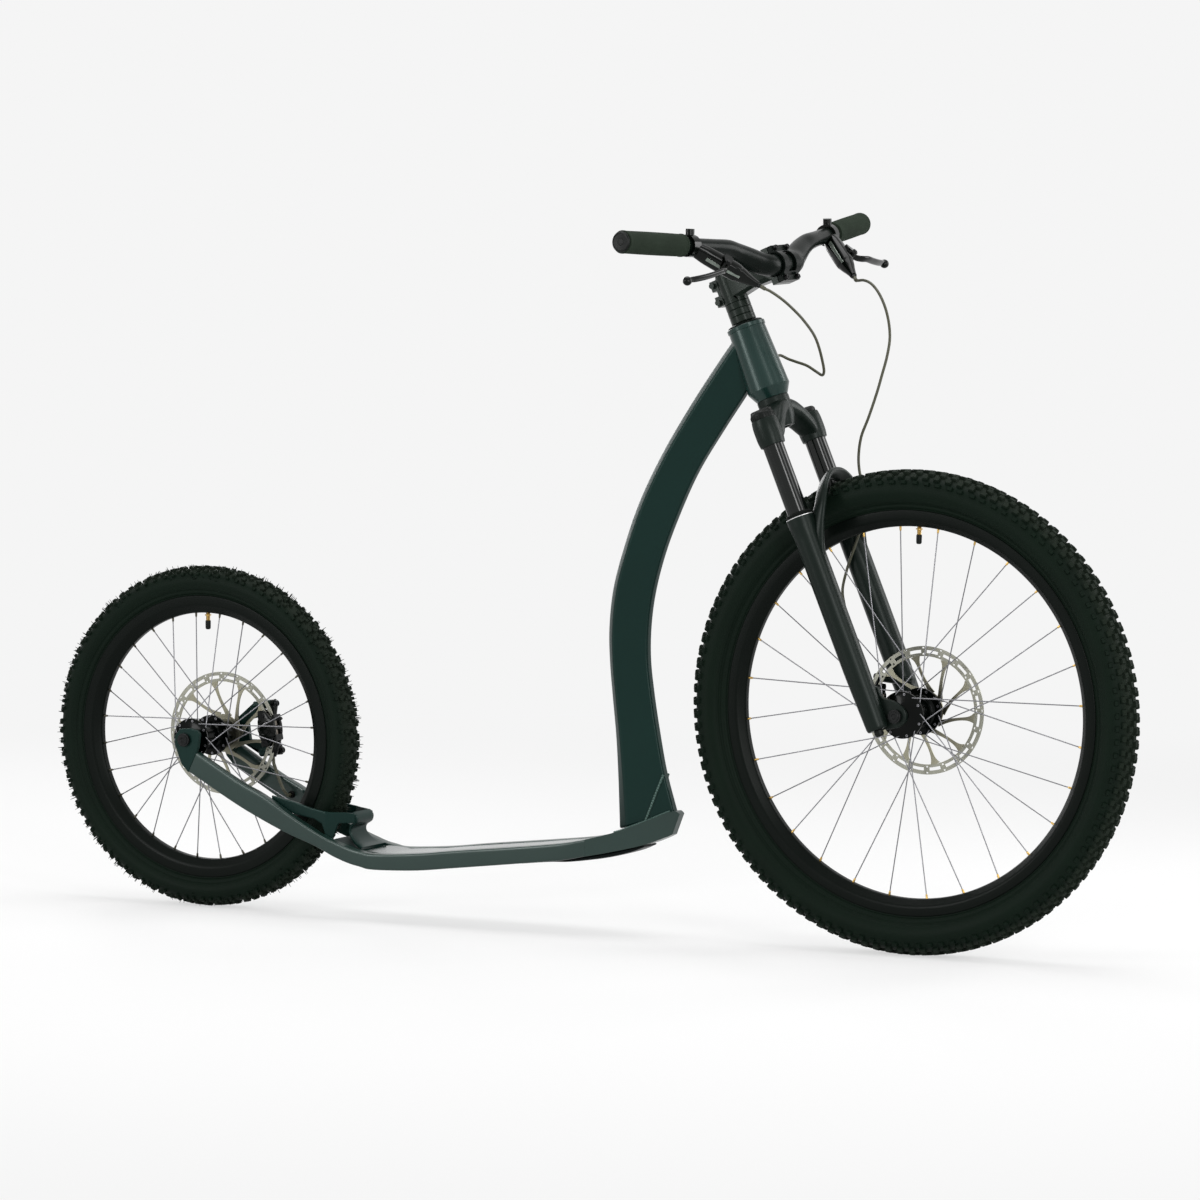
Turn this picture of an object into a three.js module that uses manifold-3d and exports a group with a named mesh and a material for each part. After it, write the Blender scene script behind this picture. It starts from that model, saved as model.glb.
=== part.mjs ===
// A kick bike: a footboard scooter with a large sprung front wheel, a smaller rear wheel,
// disc brakes on both wheels and a welded frame whose single curved tube joins deck and steering.
// Millimetres, +X forward, +Y to the rider's left, +Z up. The origin lies on the ground,
// half way along the whole length.
import * as THREE from "three";
import { mergeVertices } from "three/addons/utils/BufferGeometryUtils.js";
import Module from "manifold-3d";

const wasm = await Module();
wasm.setup();

// Clearance between pieces that touch, and the overrun of every cut
const gap = 0.3;
const overrun = 2;

// Stance
const wheelbase = 1145.5;
const headAngle = THREE.MathUtils.degToRad(67.2);
const forkOffset = 37;
const axleToHead = 483.6;
const legForward = 8;

// Wheels
const frontWheel = {
  name: "front",
  facets: 48,
  tyreHeight: 55.5,
  tyreWidth: 60,
  rimRadius: 284,
  rimDepth: 24,
  rimWidth: 30,
  hubWidth: 100,
  nearFlange: 37,
  farFlange: 20,
  flangeRadius: 33,
  shellRadius: 19,
  rotorPlane: 37,
  caliperAngle: THREE.MathUtils.degToRad(152),
  banjoLean: THREE.MathUtils.degToRad(30),
  valveAngle: THREE.MathUtils.degToRad(88.3),
};
const rearWheel = {
  name: "rear",
  facets: 40,
  tyreHeight: 43,
  tyreWidth: 48,
  rimRadius: 207,
  rimDepth: 26.5,
  rimWidth: 29,
  hubWidth: 120,
  nearFlange: 48,
  farFlange: 8,
  flangeRadius: 29.5,
  shellRadius: 17,
  rotorPlane: 42,
  caliperAngle: THREE.MathUtils.degToRad(8),
  banjoLean: THREE.MathUtils.degToRad(-26),
  valveAngle: THREE.MathUtils.degToRad(90),
};
for (const wheel of [frontWheel, rearWheel]) wheel.tyreRadius = wheel.rimRadius + wheel.tyreHeight;
const treadHeight = 4.5;
const tyreWall = 3.5;
const beadDepth = 6;
const rimWall = 2.5;
const spokeCount = 28;
const spokeRadius = 0.9;
const spokeCross = THREE.MathUtils.degToRad(52);
const flangeThickness = 4;
const hubCapRadius = 13;
const rotorMountRadius = 22;
const rotorBossRadius = 17;
const axleRadius = 6;
const axleHeadRadius = 10;
const axleHeadHeight = 5;
const valveRadius = 3;
const valveLength = 15.5;
const valveCapRadius = 4;
const valveCapLength = 13;

// Disc brakes
const rotorRadius = 90;
const rotorThickness = 1.8;
const brakeTrackWidth = 14;
const rotorArms = 10;
const padThickness = 4;
const padLength = 24;
const padHeight = 22;
const caliperRadius = 80;
const caliperHeight = 32;
const caliperLength = 54;
const caliperInboard = 14;
const caliperOutboard = 13;
const postOffset = 15;
const postSpacing = 69;
const postRadius = 6.5;
const postTop = 80;
const banjoRadius = 4.5;
const banjoReach = 24;

// Head tube, bearings and steerer, measured along the steering axis from the head tube's foot
const headTubeHeight = 109.3;
const headConeHeight = 13.8;
const headFootRadius = 23;
const headLowerRadius = 30.5;
const headUpperRadius = 26.2;
const headLipHeight = 6;
const headLip = 1.3;
const headWall = 3.2;
const lowerBearingHeight = 8;
const upperBearingHeight = 7;
const steererRadius = 14.3;
const steererFootRadius = 19.6;
const steererFootHeight = 22;
const steererWall = 2.3;
const dustCoverHeight = 4.5;
const dustCoverRadius = 25;
const spacerRadius = 18;
const spacerStack = 29.5;
const spacerCount = 3;
const spacerGroove = 0.7;

// Fork
const legSpread = 65;
const stanchionRadius = 15;
const stanchionWall = 2.5;
const forkTravel = 100;
const crownDrop = 69.7;
const crownReach = 14;
const sleeveHeight = 39;
const sleeveRadius = 19.2;
const stanchionLength = 256;
const wiperHeight = 6;
const wiperRadius = 18.6;
const lowerLegRadius = 17.8;
const lowerFootRadius = 15.6;
const lowerCollarRadius = 19.6;
const lowerCollarHeight = 14;
const legFootDrop = 9;
const boreDepth = 224;
const dropoutThickness = 8;
const dropoutRadius = 15.5;
const archRise = 45;
const archReach = 39.5;
const archWidth = 22;
const archThickness = 9;
const knobRadius = 16.8;
const knobHeight = 11;
const reboundKnobRadius = 6.5;
const reboundKnobHeight = 9;

// Stem and bar
const stemLength = 84.3;
const stemHeight = 42;
const stemRise = 2.9;
const stemRadius = 17.9;
const stemClampWidth = 50;
const stemClampRadius = 20.4;
const stemWaistWidth = 34;
const faceBandWidth = 15;
const topCapRadius = 17;
const topCapHeight = 4;
const boltRadius = 4;
const boltHead = 5;
const lugDepth = 10;
const barRadius = 15.9;
const barEndRadius = 11.1;
const barWall = 2.3;
const barHalfWidth = 365;
const barSweep = 35.5;
const barRise = 62.0;
const gripLength = 134;
const gripRadius = 16;
const plugRadius = 14.5;
const plugThickness = 4;
const plugShank = 18;

// Brake levers: the master cylinder leaves the bar clamp inboard, forward and down
const leverStation = 212;
const leverClampWidth = 15;
const leverClampWall = 4.2;
const masterForward = 44.8;
const masterInboard = 61.3;
const masterDrop = 75.8;
const masterRadius = 12;
const masterTipRadius = 4.4;
const pivotStand = 14.7;
const pivotLevel = 9;
const pivotRadius = 5;
const bladeThickness = 6;
const bladeWidth = 10;
const bladeLength = 111.3;
const bladeTipRadius = 6.5;
const earThickness = 3;
const masterNozzleShare = 1.06;
const pivotShare = 0.515;

// Brake hoses
const hoseRadius = 2.5;
const hoseSides = 8;
const hoseStep = 13;

// Frame
const deckLength = 782;
const deckHalfWidth = 56;
const railFootWidth = 18;
const railTailWidth = 13;
const dropoutPlate = 7;
const rearDropoutRadius = 17;
const deckPlateThickness = 5;
const deckPlateInset = 1.2;
const deckRibDepth = 12;
const deckRibThickness = 4;
const bellyThickness = 3.5;
const noseHalfWidth = 7;
const tubeHalfWidth = 22;
const tubeBackHalf = 10.5;
const tubeFrontHalf = 7;
const tubeChamferShare = 0.2;
const headJoint = 60;
const yokeHalfWidth = 46;
const yokeFrontHalf = 25;
const yokeThickness = 4.5;
const grommetRadius = 5.5;
const grommetLength = 9;
const portRadius = 28.5;
const portHeight = 56.6;
const grommetRow = 1;
const grommetShare = 0.75;

// Facets
const discFacets = 40;
const roundFacets = 20;
const smallFacets = 12;
const spokeFacets = 4;
const boreSides = 6;

const finishes = {
  paint: { color: 0x23383b, roughness: 0.42, metalness: 0.35 },
  black: { color: 0x14171a, roughness: 0.4, metalness: 0.3 },
  gloss: { color: 0x0b0d0e, roughness: 0.12, metalness: 0.6 },
  rubber: { color: 0x17191a, roughness: 0.85, metalness: 0 },
  grip: { color: 0x3a4140, roughness: 0.95, metalness: 0 },
  steel: { color: 0x9b978a, roughness: 0.35, metalness: 0.9 },
  spoke: { color: 0x2c2e2f, roughness: 0.35, metalness: 0.8 },
  brass: { color: 0xb08d3c, roughness: 0.3, metalness: 0.9 },
  pad: { color: 0x5a4a3a, roughness: 0.9, metalness: 0.1 },
};

const point = (x, y, z) => new THREE.Vector3(x, y, z);
const flat = (x, y) => new THREE.Vector2(x, y);

/** Welds the corners of a closed geometry, drops empty triangles and turns its faces outward. */
function weld(geometry) {
  const bare = new THREE.BufferGeometry();
  bare.setAttribute("position", geometry.getAttribute("position"));
  bare.setIndex(geometry.index);
  const merged = mergeVertices(bare);
  const corners = merged.getAttribute("position");
  const [a, b, c] = [point(0, 0, 0), point(0, 0, 0), point(0, 0, 0)];
  const kept = [];
  let volume = 0;
  for (let i = 0; i < merged.index.count; i += 3) {
    const triangle = [0, 1, 2].map((k) => merged.index.getX(i + k));
    if (new Set(triangle).size < 3) continue;
    kept.push(...triangle);
    a.fromBufferAttribute(corners, triangle[0]);
    b.fromBufferAttribute(corners, triangle[1]);
    c.fromBufferAttribute(corners, triangle[2]);
    volume += a.dot(b.cross(c));
  }
  if (volume < 0) kept.reverse();
  merged.setIndex(kept);
  return merged;
}

/** A geometry, or a solid as it is, as a solid for joins and cuts. */
function solid(shape) {
  if (shape instanceof wasm.Manifold) return shape;
  const welded = weld(shape);
  return new wasm.Manifold(new wasm.Mesh({
    numProp: 3,
    vertProperties: Float32Array.from(welded.getAttribute("position").array),
    triVerts: Uint32Array.from(welded.index.array),
  }));
}

const join = (first, ...others) => others.reduce((sum, next) => sum.add(solid(next)), solid(first));
const cut = (first, ...tools) => tools.reduce((rest, tool) => rest.subtract(solid(tool)), solid(first));

/** A solid's skin as a geometry. */
function skin(shape) {
  if (!(shape instanceof wasm.Manifold)) return weld(shape);
  const mesh = shape.getMesh();
  const geometry = new THREE.BufferGeometry();
  geometry.setAttribute("position", new THREE.BufferAttribute(Float32Array.from(mesh.vertProperties), 3));
  geometry.setIndex(new THREE.BufferAttribute(Uint32Array.from(mesh.triVerts), 1));
  return geometry;
}

/** Adds a named piece to a group. */
function piece(group, name, shape, finish) {
  const geometry = skin(shape);
  geometry.computeVertexNormals();
  const mesh = new THREE.Mesh(geometry, new THREE.MeshStandardMaterial(finishes[finish]));
  mesh.name = name;
  group.add(mesh);
  return mesh;
}

/** A closed skin over rings of equal count; a loop joins its last ring to its first. */
function loft(rings, loop = false) {
  const count = rings[0].length;
  const index = [];
  const spans = loop ? rings.length : rings.length - 1;
  for (let i = 0; i < spans; i++) {
    const next = (i + 1) % rings.length;
    for (let k = 0; k < count; k++) {
      const [a, b] = [i * count + k, i * count + (k + 1) % count];
      const [c, d] = [next * count + k, next * count + (k + 1) % count];
      index.push(a, b, d, a, d, c);
    }
  }
  const end = (rings.length - 1) * count;
  for (let k = 1; k < count - 1 && !loop; k++) {
    index.push(0, k + 1, k, end, end + k, end + k + 1);
  }
  const geometry = new THREE.BufferGeometry();
  const corners = rings.flat().flatMap((p) => [p.x, p.y, p.z]);
  geometry.setAttribute("position", new THREE.Float32BufferAttribute(corners, 3));
  geometry.setIndex(index);
  return geometry;
}

/** A profile of [radius, height] points turned about the Y axis. */
function turnedY(profile, facets) {
  return new THREE.LatheGeometry(profile.map(([r, h]) => flat(r, h)), facets);
}

/** A profile of [radius, height] points turned about the Z axis. */
function turned(profile, facets) {
  return turnedY(profile, facets).rotateX(Math.PI / 2);
}

/** A closed ring of rectangular section about the Z axis. */
function collar(inner, outer, from, to, facets) {
  return turned([[inner, from], [outer, from], [outer, to], [inner, to], [inner, from]], facets);
}

/** A straight round bar between two points. */
function rod(from, to, radius, facets, endRadius = radius) {
  const axis = to.clone().sub(from);
  const bar = new THREE.CylinderGeometry(endRadius, radius, axis.length(), facets);
  bar.applyQuaternion(new THREE.Quaternion().setFromUnitVectors(point(0, 1, 0), axis.normalize()));
  const middle = from.clone().lerp(to, 1 / 2);
  return bar.translate(middle.x, middle.y, middle.z);
}

/** An outline in the XZ plane, given thickness along Y. */
function slab(outline, from, to) {
  const shape = outline instanceof THREE.Shape ? outline : new THREE.Shape(outline.map(([x, z]) => flat(x, z)));
  const body = new THREE.ExtrudeGeometry(shape, { depth: to - from, bevelEnabled: false });
  return body.rotateX(Math.PI / 2).translate(0, to, 0);
}

/** An outline in the XY plane, given height along Z. */
function prism(outline, from, to) {
  const shape = new THREE.Shape(outline.map(([x, y]) => flat(x, y)));
  const body = new THREE.ExtrudeGeometry(shape, { depth: to - from, bevelEnabled: false });
  return body.translate(0, 0, from);
}

function block(from, to) {
  const size = to.clone().sub(from);
  const middle = from.clone().lerp(to, 1 / 2);
  return new THREE.BoxGeometry(size.x, size.y, size.z).translate(middle.x, middle.y, middle.z);
}

const circle = (radius, count, centre = flat(0, 0)) => Array.from({ length: count }, (_, k) => {
  const angle = (2 * Math.PI * k) / count;
  return flat(centre.x + radius * Math.cos(angle), centre.y + radius * Math.sin(angle));
});

/** The last part of a hose runs straight into a hole. */
const intoHole = (hole, direction) => [1.6, 1.1, 0.6].map((share) => hole.clone()
  .addScaledVector(direction, share * grommetLength)).concat(hole.clone().addScaledVector(direction, 2 * gap));

/** A hose along a smooth curve through its points. */
function hose(points) {
  const route = new THREE.CatmullRomCurve3(points, false, "centripetal");
  const steps = Math.ceil(route.getLength() / hoseStep);
  const section = new THREE.Shape(circle(hoseRadius, hoseSides));
  return new THREE.ExtrudeGeometry(section, { steps, extrudePath: route });
}

/** Rings of a round section along a curve, with a radius for each share of its length. */
function tubeRings(route, radiusAt, facets, steps) {
  const frames = route.computeFrenetFrames(steps);
  return Array.from({ length: steps + 1 }, (_, i) => {
    const centre = route.getPointAt(i / steps);
    return circle(radiusAt(i / steps), facets).map((p) => centre.clone()
      .addScaledVector(frames.normals[i], p.x)
      .addScaledVector(frames.binormals[i], p.y));
  });
}

// Tyre, rim, spokes, hub, rotor and valve, turned about the wheel's axis at the group's origin

function tyre(wheel) {
  const carcass = wheel.tyreRadius - treadHeight;
  const height = carcass - wheel.rimRadius;
  const half = wheel.tyreWidth / 2;
  const bead = wheel.rimWidth / 2 - rimWall - gap;
  const foot = wheel.rimRadius - beadDepth;
  const crownShare = 0.5;
  const outerShares = [[0.42, 1], [0.82, 0.84], [1, crownShare]];
  const innerShares = [[0.45, 0.86], [0.86, 0.45]];
  const place = ([up, wide]) => [wheel.rimRadius + height * up, half * wide];
  const side = [[foot, bead], [wheel.rimRadius + gap, bead], ...outerShares.map(place)];
  const lining = [[foot, bead - tyreWall], ...innerShares.map(place)];
  const mirrored = (points) => points.map(([r, y]) => [r, -y]);
  const profile = [...side, ...mirrored(side).reverse(), ...mirrored(lining), ...lining.reverse()];
  const pitch = (2 * Math.PI) / wheel.facets;
  const body = turnedY([...profile, profile[0]], wheel.facets).rotateY(pitch / 2);
  const lugShare = 0.5;
  const lugLength = lugShare * pitch * wheel.tyreRadius;
  const lugHalf = crownShare * half - gap;
  const lugs = Array.from({ length: wheel.facets }, (_, k) => block(
    point(-lugLength / 2, -lugHalf, carcass - treadHeight),
    point(lugLength / 2, lugHalf, wheel.tyreRadius),
  ).rotateY(k * pitch));
  return join(body, ...lugs);
}

function rim(wheel) {
  const [outer, inner] = [wheel.rimRadius, wheel.rimRadius - wheel.rimDepth];
  const half = wheel.rimWidth / 2;
  const bedShare = 0.36;
  const shoulderShare = 0.42;
  const seat = outer - beadDepth - gap;
  const side = [[inner, bedShare * half], [inner + shoulderShare * wheel.rimDepth, half], [outer, half],
    [outer, half - rimWall], [seat, half - rimWall]];
  const profile = [...side, ...side.map(([r, y]) => [r, -y]).reverse()];
  return turnedY([...profile, profile[0]], wheel.facets).rotateY(Math.PI / wheel.facets);
}

/** The radius inside the rim's bed that clears its flats. */
const bedRadius = (wheel) => (wheel.rimRadius - wheel.rimDepth) * Math.cos(Math.PI / wheel.facets) - gap;

/** Spokes cross in pairs, half of them inside and half outside their flange, and meet in a thin rim tape. */
function spokes(wheel) {
  const outer = bedRadius(wheel);
  const bedHalf = spokeRadius * 3;
  const footRadius = wheel.flangeRadius + spokeRadius + gap;
  const stand = flangeThickness / 2;
  const bed = [[outer - 2 * spokeRadius, -bedHalf], [outer, -bedHalf], [outer, bedHalf],
    [outer - 2 * spokeRadius, bedHalf]];
  const pitch = (2 * Math.PI) / spokeCount;
  const phase = Math.PI / 2 - wheel.valveAngle + pitch / 2;
  const ring = turnedY([...bed, bed[0]], spokeCount).rotateY(phase);
  const around = (radius, angle, y) => point(radius * Math.sin(angle), y, radius * Math.cos(angle));
  const wires = Array.from({ length: spokeCount }, (_, k) => {
    const flange = k % 2 === 0 ? -wheel.nearFlange : wheel.farFlange;
    const lead = Math.floor(k / 2) % 2 === 0 ? 1 : -1;
    const angle = pitch * k + phase;
    const foot = around(footRadius, angle + lead * spokeCross, flange + lead * stand);
    return rod(foot, around(outer - spokeRadius, angle, 0), spokeRadius, spokeFacets);
  });
  return join(ring, ...wires);
}

function hub(wheel) {
  const bore = axleRadius + gap;
  const [near, far, half] = [-wheel.nearFlange, wheel.farFlange, wheel.hubWidth / 2];
  const thick = flangeThickness / 2;
  const coneRadius = wheel.flangeRadius - flangeThickness * 2.2;
  const mount = wheel.rotorPlane - rotorThickness / 2 - gap;
  const capStart = -half + (half + near) / 2;
  const boss = Math.min(wheel.rotorPlane + flangeThickness, half - flangeThickness);
  const profile = [[bore, -half], [hubCapRadius, -half], [hubCapRadius, capStart],
    [coneRadius, near - thick], [wheel.flangeRadius, near - thick], [wheel.flangeRadius, near + thick],
    [coneRadius, near + thick], [wheel.shellRadius, near + 2 * flangeThickness],
    [wheel.shellRadius, far - 2 * flangeThickness], [coneRadius, far - thick], [wheel.flangeRadius, far - thick],
    [wheel.flangeRadius, far + thick], [rotorMountRadius, far + thick], [rotorMountRadius, mount],
    [rotorBossRadius, mount], [rotorBossRadius, boss], [hubCapRadius, boss], [hubCapRadius, half],
    [bore, half], [bore, -half]];
  return turnedY(profile, roundFacets);
}

function rotor(wheel) {
  const disc = new THREE.Shape(circle(rotorRadius, discFacets));
  disc.holes.push(new THREE.Path(circle(rotorBossRadius + gap, roundFacets)));
  const spiderRadius = rotorMountRadius + flangeThickness;
  const track = rotorRadius - brakeTrackWidth;
  const pitch = (2 * Math.PI) / rotorArms;
  const swirl = pitch * 0.9;
  const armShare = 0.16;
  const innerShares = [0.1, 0.62];
  const outerShares = [1 - armShare, 0.56, 0.28, 0];
  for (let k = 0; k < rotorArms; k++) {
    const place = (radius, share, turn) => {
      const angle = pitch * (k + share) + turn;
      return flat(radius * Math.cos(angle), radius * Math.sin(angle));
    };
    disc.holes.push(new THREE.Path([
      ...innerShares.map((share) => place(spiderRadius, share, 0)),
      ...outerShares.map((share) => place(track, share, swirl)),
    ]));
  }
  const [low, high] = [wheel.rotorPlane - rotorThickness / 2, wheel.rotorPlane + rotorThickness / 2];
  return slab(disc, low, high);
}

function valve(wheel) {
  const along = (radius) => point(radius * Math.cos(wheel.valveAngle), 0, radius * Math.sin(wheel.valveAngle));
  const start = (bedRadius(wheel) - 2 * spokeRadius) * Math.cos(Math.PI / spokeCount) - gap;
  const end = start - valveLength;
  return join(rod(along(start), along(end), valveRadius, smallFacets),
    rod(along(end + valveCapLength / 2), along(end - valveCapLength / 2), valveCapRadius, smallFacets));
}

function addWheel(root, wheel, place) {
  const group = new THREE.Group();
  group.position.copy(place);
  root.add(group);
  piece(group, `${wheel.name}_tyre`, tyre(wheel), "rubber");
  piece(group, `${wheel.name}_rim`, rim(wheel), "black");
  piece(group, `${wheel.name}_spokes`, spokes(wheel), "spoke");
  piece(group, `${wheel.name}_hub`, hub(wheel), "black");
  piece(group, `${wheel.name}_rotor`, rotor(wheel), "steel");
  piece(group, `${wheel.name}_valve`, valve(wheel), "brass");
}

/** An axle bolt with a head outside each dropout, whose outer faces lie at the given half width. */
function axle(halfWidth) {
  const head = halfWidth + gap;
  const tip = head + axleHeadHeight;
  const bar = rod(point(0, -tip, 0), point(0, tip, 0), axleRadius, smallFacets);
  const heads = [-1, 1].map((side) => rod(point(0, side * head, 0), point(0, side * tip, 0),
    axleHeadRadius, smallFacets));
  return join(bar, ...heads);
}

// A caliper in a frame whose X axis runs from the wheel's axis through the caliper

/** The caliper's body straddles the rotor and stands on two posts. */
function caliper(wheel) {
  const { rotorPlane } = wheel;
  const [low, high] = [caliperRadius - caliperHeight / 2, caliperRadius + caliperHeight / 2 + overrun];
  const half = caliperLength / 2;
  const bevelShare = 0.3;
  const bevel = bevelShare * caliperHeight;
  const outline = [[low, -half + bevel], [low, half - bevel], [low + bevel, half], [high - bevel, half],
    [high, half - bevel], [high, -half + bevel], [high - bevel, -half], [low + bevel, -half]];
  const body = slab(outline, rotorPlane - caliperInboard, rotorPlane + caliperOutboard);
  const earShare = 0.42;
  const earHalf = postRadius * 1.05;
  const ear = block(
    point(postTop + gap, rotorPlane + postOffset - earHalf, -postSpacing / 2 - earHalf),
    point(postTop + gap + earShare * caliperHeight / 2, rotorPlane + postOffset + earHalf,
      postSpacing / 2 + earHalf));
  const trackSlot = rod(point(0, rotorPlane - rotorThickness, 0), point(0, rotorPlane + rotorThickness, 0),
    rotorRadius + overrun, discFacets);
  const pocketHalf = rotorThickness / 2 + padThickness + 2 * gap;
  const pocket = block(
    point(low - overrun, rotorPlane - pocketHalf, -padLength / 2 - gap),
    point(rotorRadius + overrun, rotorPlane + pocketHalf, padLength / 2 + gap));
  const banjo = rod(banjoPlace(wheel, 0), banjoPlace(wheel, banjoReach), banjoRadius, smallFacets);
  return cut(join(body, ear, banjo), trackSlot, pocket);
}

/** A brake pad on one side of the rotor. */
function pad(rotorPlane, side) {
  const face = rotorPlane + side * (rotorThickness / 2 + gap);
  const back = face + side * padThickness;
  const top = rotorRadius - gap;
  return block(point(top - padHeight, Math.min(face, back), -padLength / 2),
    point(top, Math.max(face, back), padLength / 2));
}

/** The posts that carry a caliper, from a given radius out to its ears. */
const posts = (rotorPlane, from) => [-1, 1].map((side) => rod(
  point(from, rotorPlane + postOffset, (side * postSpacing) / 2),
  point(postTop, rotorPlane + postOffset, (side * postSpacing) / 2), postRadius, smallFacets));

/** A point on the banjo's axis, in the caliper's frame; the hose starts past the banjo's reach. */
function banjoPlace(wheel, distance) {
  return point(caliperRadius + caliperHeight * 0.25 + distance * Math.sin(wheel.banjoLean),
    wheel.rotorPlane + banjoRadius * 0.92, -caliperLength * 0.36 - distance * Math.cos(wheel.banjoLean));
}

function addCaliper(group, wheel, axleAt, clearance = []) {
  const frame = new THREE.Group();
  frame.position.copy(axleAt);
  frame.rotation.y = -wheel.caliperAngle;
  group.add(frame);
  frame.updateMatrix();
  const back = frame.matrix.clone().invert();
  const tools = clearance.map((tool) => tool.clone().applyMatrix4(back));
  piece(frame, `${wheel.name}_caliper`, cut(caliper(wheel), ...tools), "black");
  piece(frame, `${wheel.name}_pad_outer`, pad(wheel.rotorPlane, 1), "pad");
  piece(frame, `${wheel.name}_pad_inner`, pad(wheel.rotorPlane, -1), "pad");
  return frame;
}

// Frame: the side view's outlines are shares of the deck's length and of the rear axle's height

const rearAxle = point(0, 0, rearWheel.tyreRadius);
const frontAxle = point(wheelbase, 0, frontWheel.tyreRadius);
const axisUp = point(-Math.cos(headAngle), 0, Math.sin(headAngle));
const axisForward = point(Math.sin(headAngle), 0, Math.cos(headAngle));
const headFoot = frontAxle.clone()
  .addScaledVector(axisForward, -forkOffset)
  .addScaledVector(axisUp, axleToHead);
const alongAxis = (height, forward = 0) => headFoot.clone()
  .addScaledVector(axisUp, height)
  .addScaledVector(axisForward, forward);

// Each station of a rail: top x and z, bottom x and z, outer face as a share of the deck's half width
const railShares = [
  [0.0256, 0.928, 0.0077, 0.812, 1.196],
  [0.1138, 0.774, 0.0972, 0.656, 1.155],
  [0.1633, 0.702, 0.1483, 0.576, 1.13],
  [0.2251, 0.588, 0.211, 0.49, 1.095],
  [0.2839, 0.49, 0.2737, 0.42, 1.06],
  [0.3197, 0.446, 0.3159, 0.36, 1.035],
  [0.3632, 0.408, 0.3632, 0.318, 1.015],
  [0.4092, 0.398, 0.4092, 0.304, 1],
  [0.4859, 0.416, 0.4872, 0.316, 1],
  [0.5639, 0.446, 0.5639, 0.344, 1],
  [0.6918, 0.49, 0.6918, 0.392, 1],
  [0.7852, 0.526, 0.7864, 0.428, 0.93],
  [0.8312, 0.554, 0.8312, 0.456, 0.84],
];
const noseShares = [
  [0.8312, 0.554, 0.8312, 0.456, 0.84],
  [0.879, 0.594, 0.8747, 0.484, 0.66],
  [0.9353, 0.661, 0.9348, 0.53, 0.42],
  [0.991, 0.728, 0.9821, 0.588, 0.17],
  [1, 0.713, 0.985, 0.594, 0.13],
];
const deckX = (share) => share * deckLength;
const deckZ = (share) => share * rearWheel.tyreRadius;

function railOutline(shares, row) {
  const [topX, topZ, lowX, lowZ, wide] = shares[row];
  return { top: [deckX(topX), deckZ(topZ)], low: [deckX(lowX), deckZ(lowZ)], outer: wide * deckHalfWidth };
}

const railWidth = (row) => THREE.MathUtils.lerp(railTailWidth, railFootWidth,
  Math.min(1, row / (railShares.length / 2)));

/** A side rail runs from its dropout, under the deck's edge, to the nose. */
function rail(side) {
  const chamferShare = 0.14;
  const rings = railShares.map((_, row) => {
    const { top, low, outer } = railOutline(railShares, row);
    const width = railWidth(row);
    const corner = (down, y) => point(THREE.MathUtils.lerp(top[0], low[0], down), side * y,
      THREE.MathUtils.lerp(top[1], low[1], down));
    const inset = chamferShare * width;
    return [corner(0, outer - inset), corner(chamferShare, outer), corner(1 - chamferShare, outer),
      corner(1, outer - inset), corner(1, outer - width + inset), corner(1 - chamferShare, outer - width),
      corner(chamferShare, outer - width), corner(0, outer - width + inset)];
  });
  return loft(rings);
}

/** The deck's nose narrows from the rails' ends to the tip and carries the foot of the curved tube. */
function nose() {
  const rings = noseShares.map((_, row) => {
    const { top, low, outer } = railOutline(noseShares, row);
    const shift = row === 0 ? gap : 0;
    return [[top, -outer], [low, -outer], [low, outer], [top, outer]].map(([at, y]) => point(
      at[0] + shift, y, at[1]));
  });
  return solid(loft(rings));
}

/** The tube's own outline: rear x and z, then front x and z, as shares of its reach and rise. */
const tubeShares = [
  [0, 0, 0.403, 0.038],
  [-0.013, 0.119, 0.323, 0.124],
  [-0.028, 0.2, 0.265, 0.216],
  [-0.053, 0.279, 0.225, 0.293],
  [-0.074, 0.353, 0.201, 0.36],
  [-0.079, 0.422, 0.204, 0.427],
  [-0.05, 0.505, 0.235, 0.498],
  [0.027, 0.592, 0.307, 0.58],
  [0.143, 0.69, 0.412, 0.663],
  [0.314, 0.794, 0.56, 0.758],
  [0.524, 0.898, 0.754, 0.851],
  [0.744, 0.996, 0.922, 0.926],
  [0.894, 1.059, 1.034, 0.979],
];
const tubeFootXShare = 0.8783;
const tubeFootZShare = 0.609;
const tubeFoot = point(deckX(tubeFootXShare), 0, deckZ(tubeFootZShare));
const tubeHead = alongAxis(headJoint);

function curvedTube() {
  const reach = tubeHead.x - tubeFoot.x;
  const rise = tubeHead.z - tubeFoot.z;
  const place = (x, z) => point(tubeFoot.x + x * reach, 0, tubeFoot.z + z * rise);
  const rear = new THREE.CatmullRomCurve3(tubeShares.map(([x, z]) => place(x, z)));
  const front = new THREE.CatmullRomCurve3(tubeShares.map(([, , x, z]) => place(x, z)));
  const stepsPerSpan = 2;
  const steps = (tubeShares.length - 1) * stepsPerSpan;
  const rings = Array.from({ length: steps + 1 }, (_, i) => {
    const back = rear.getPoint(i / steps);
    const fore = front.getPoint(i / steps);
    const bend = back.clone().lerp(fore, tubeChamferShare);
    const corner = (at, y) => point(at.x, y, at.z);
    return [corner(back, -tubeBackHalf), corner(bend, -tubeHalfWidth), corner(fore, -tubeFrontHalf),
      corner(fore, tubeFrontHalf), corner(bend, tubeHalfWidth), corner(back, tubeBackHalf)];
  });
  return solid(loft(rings));
}

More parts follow.
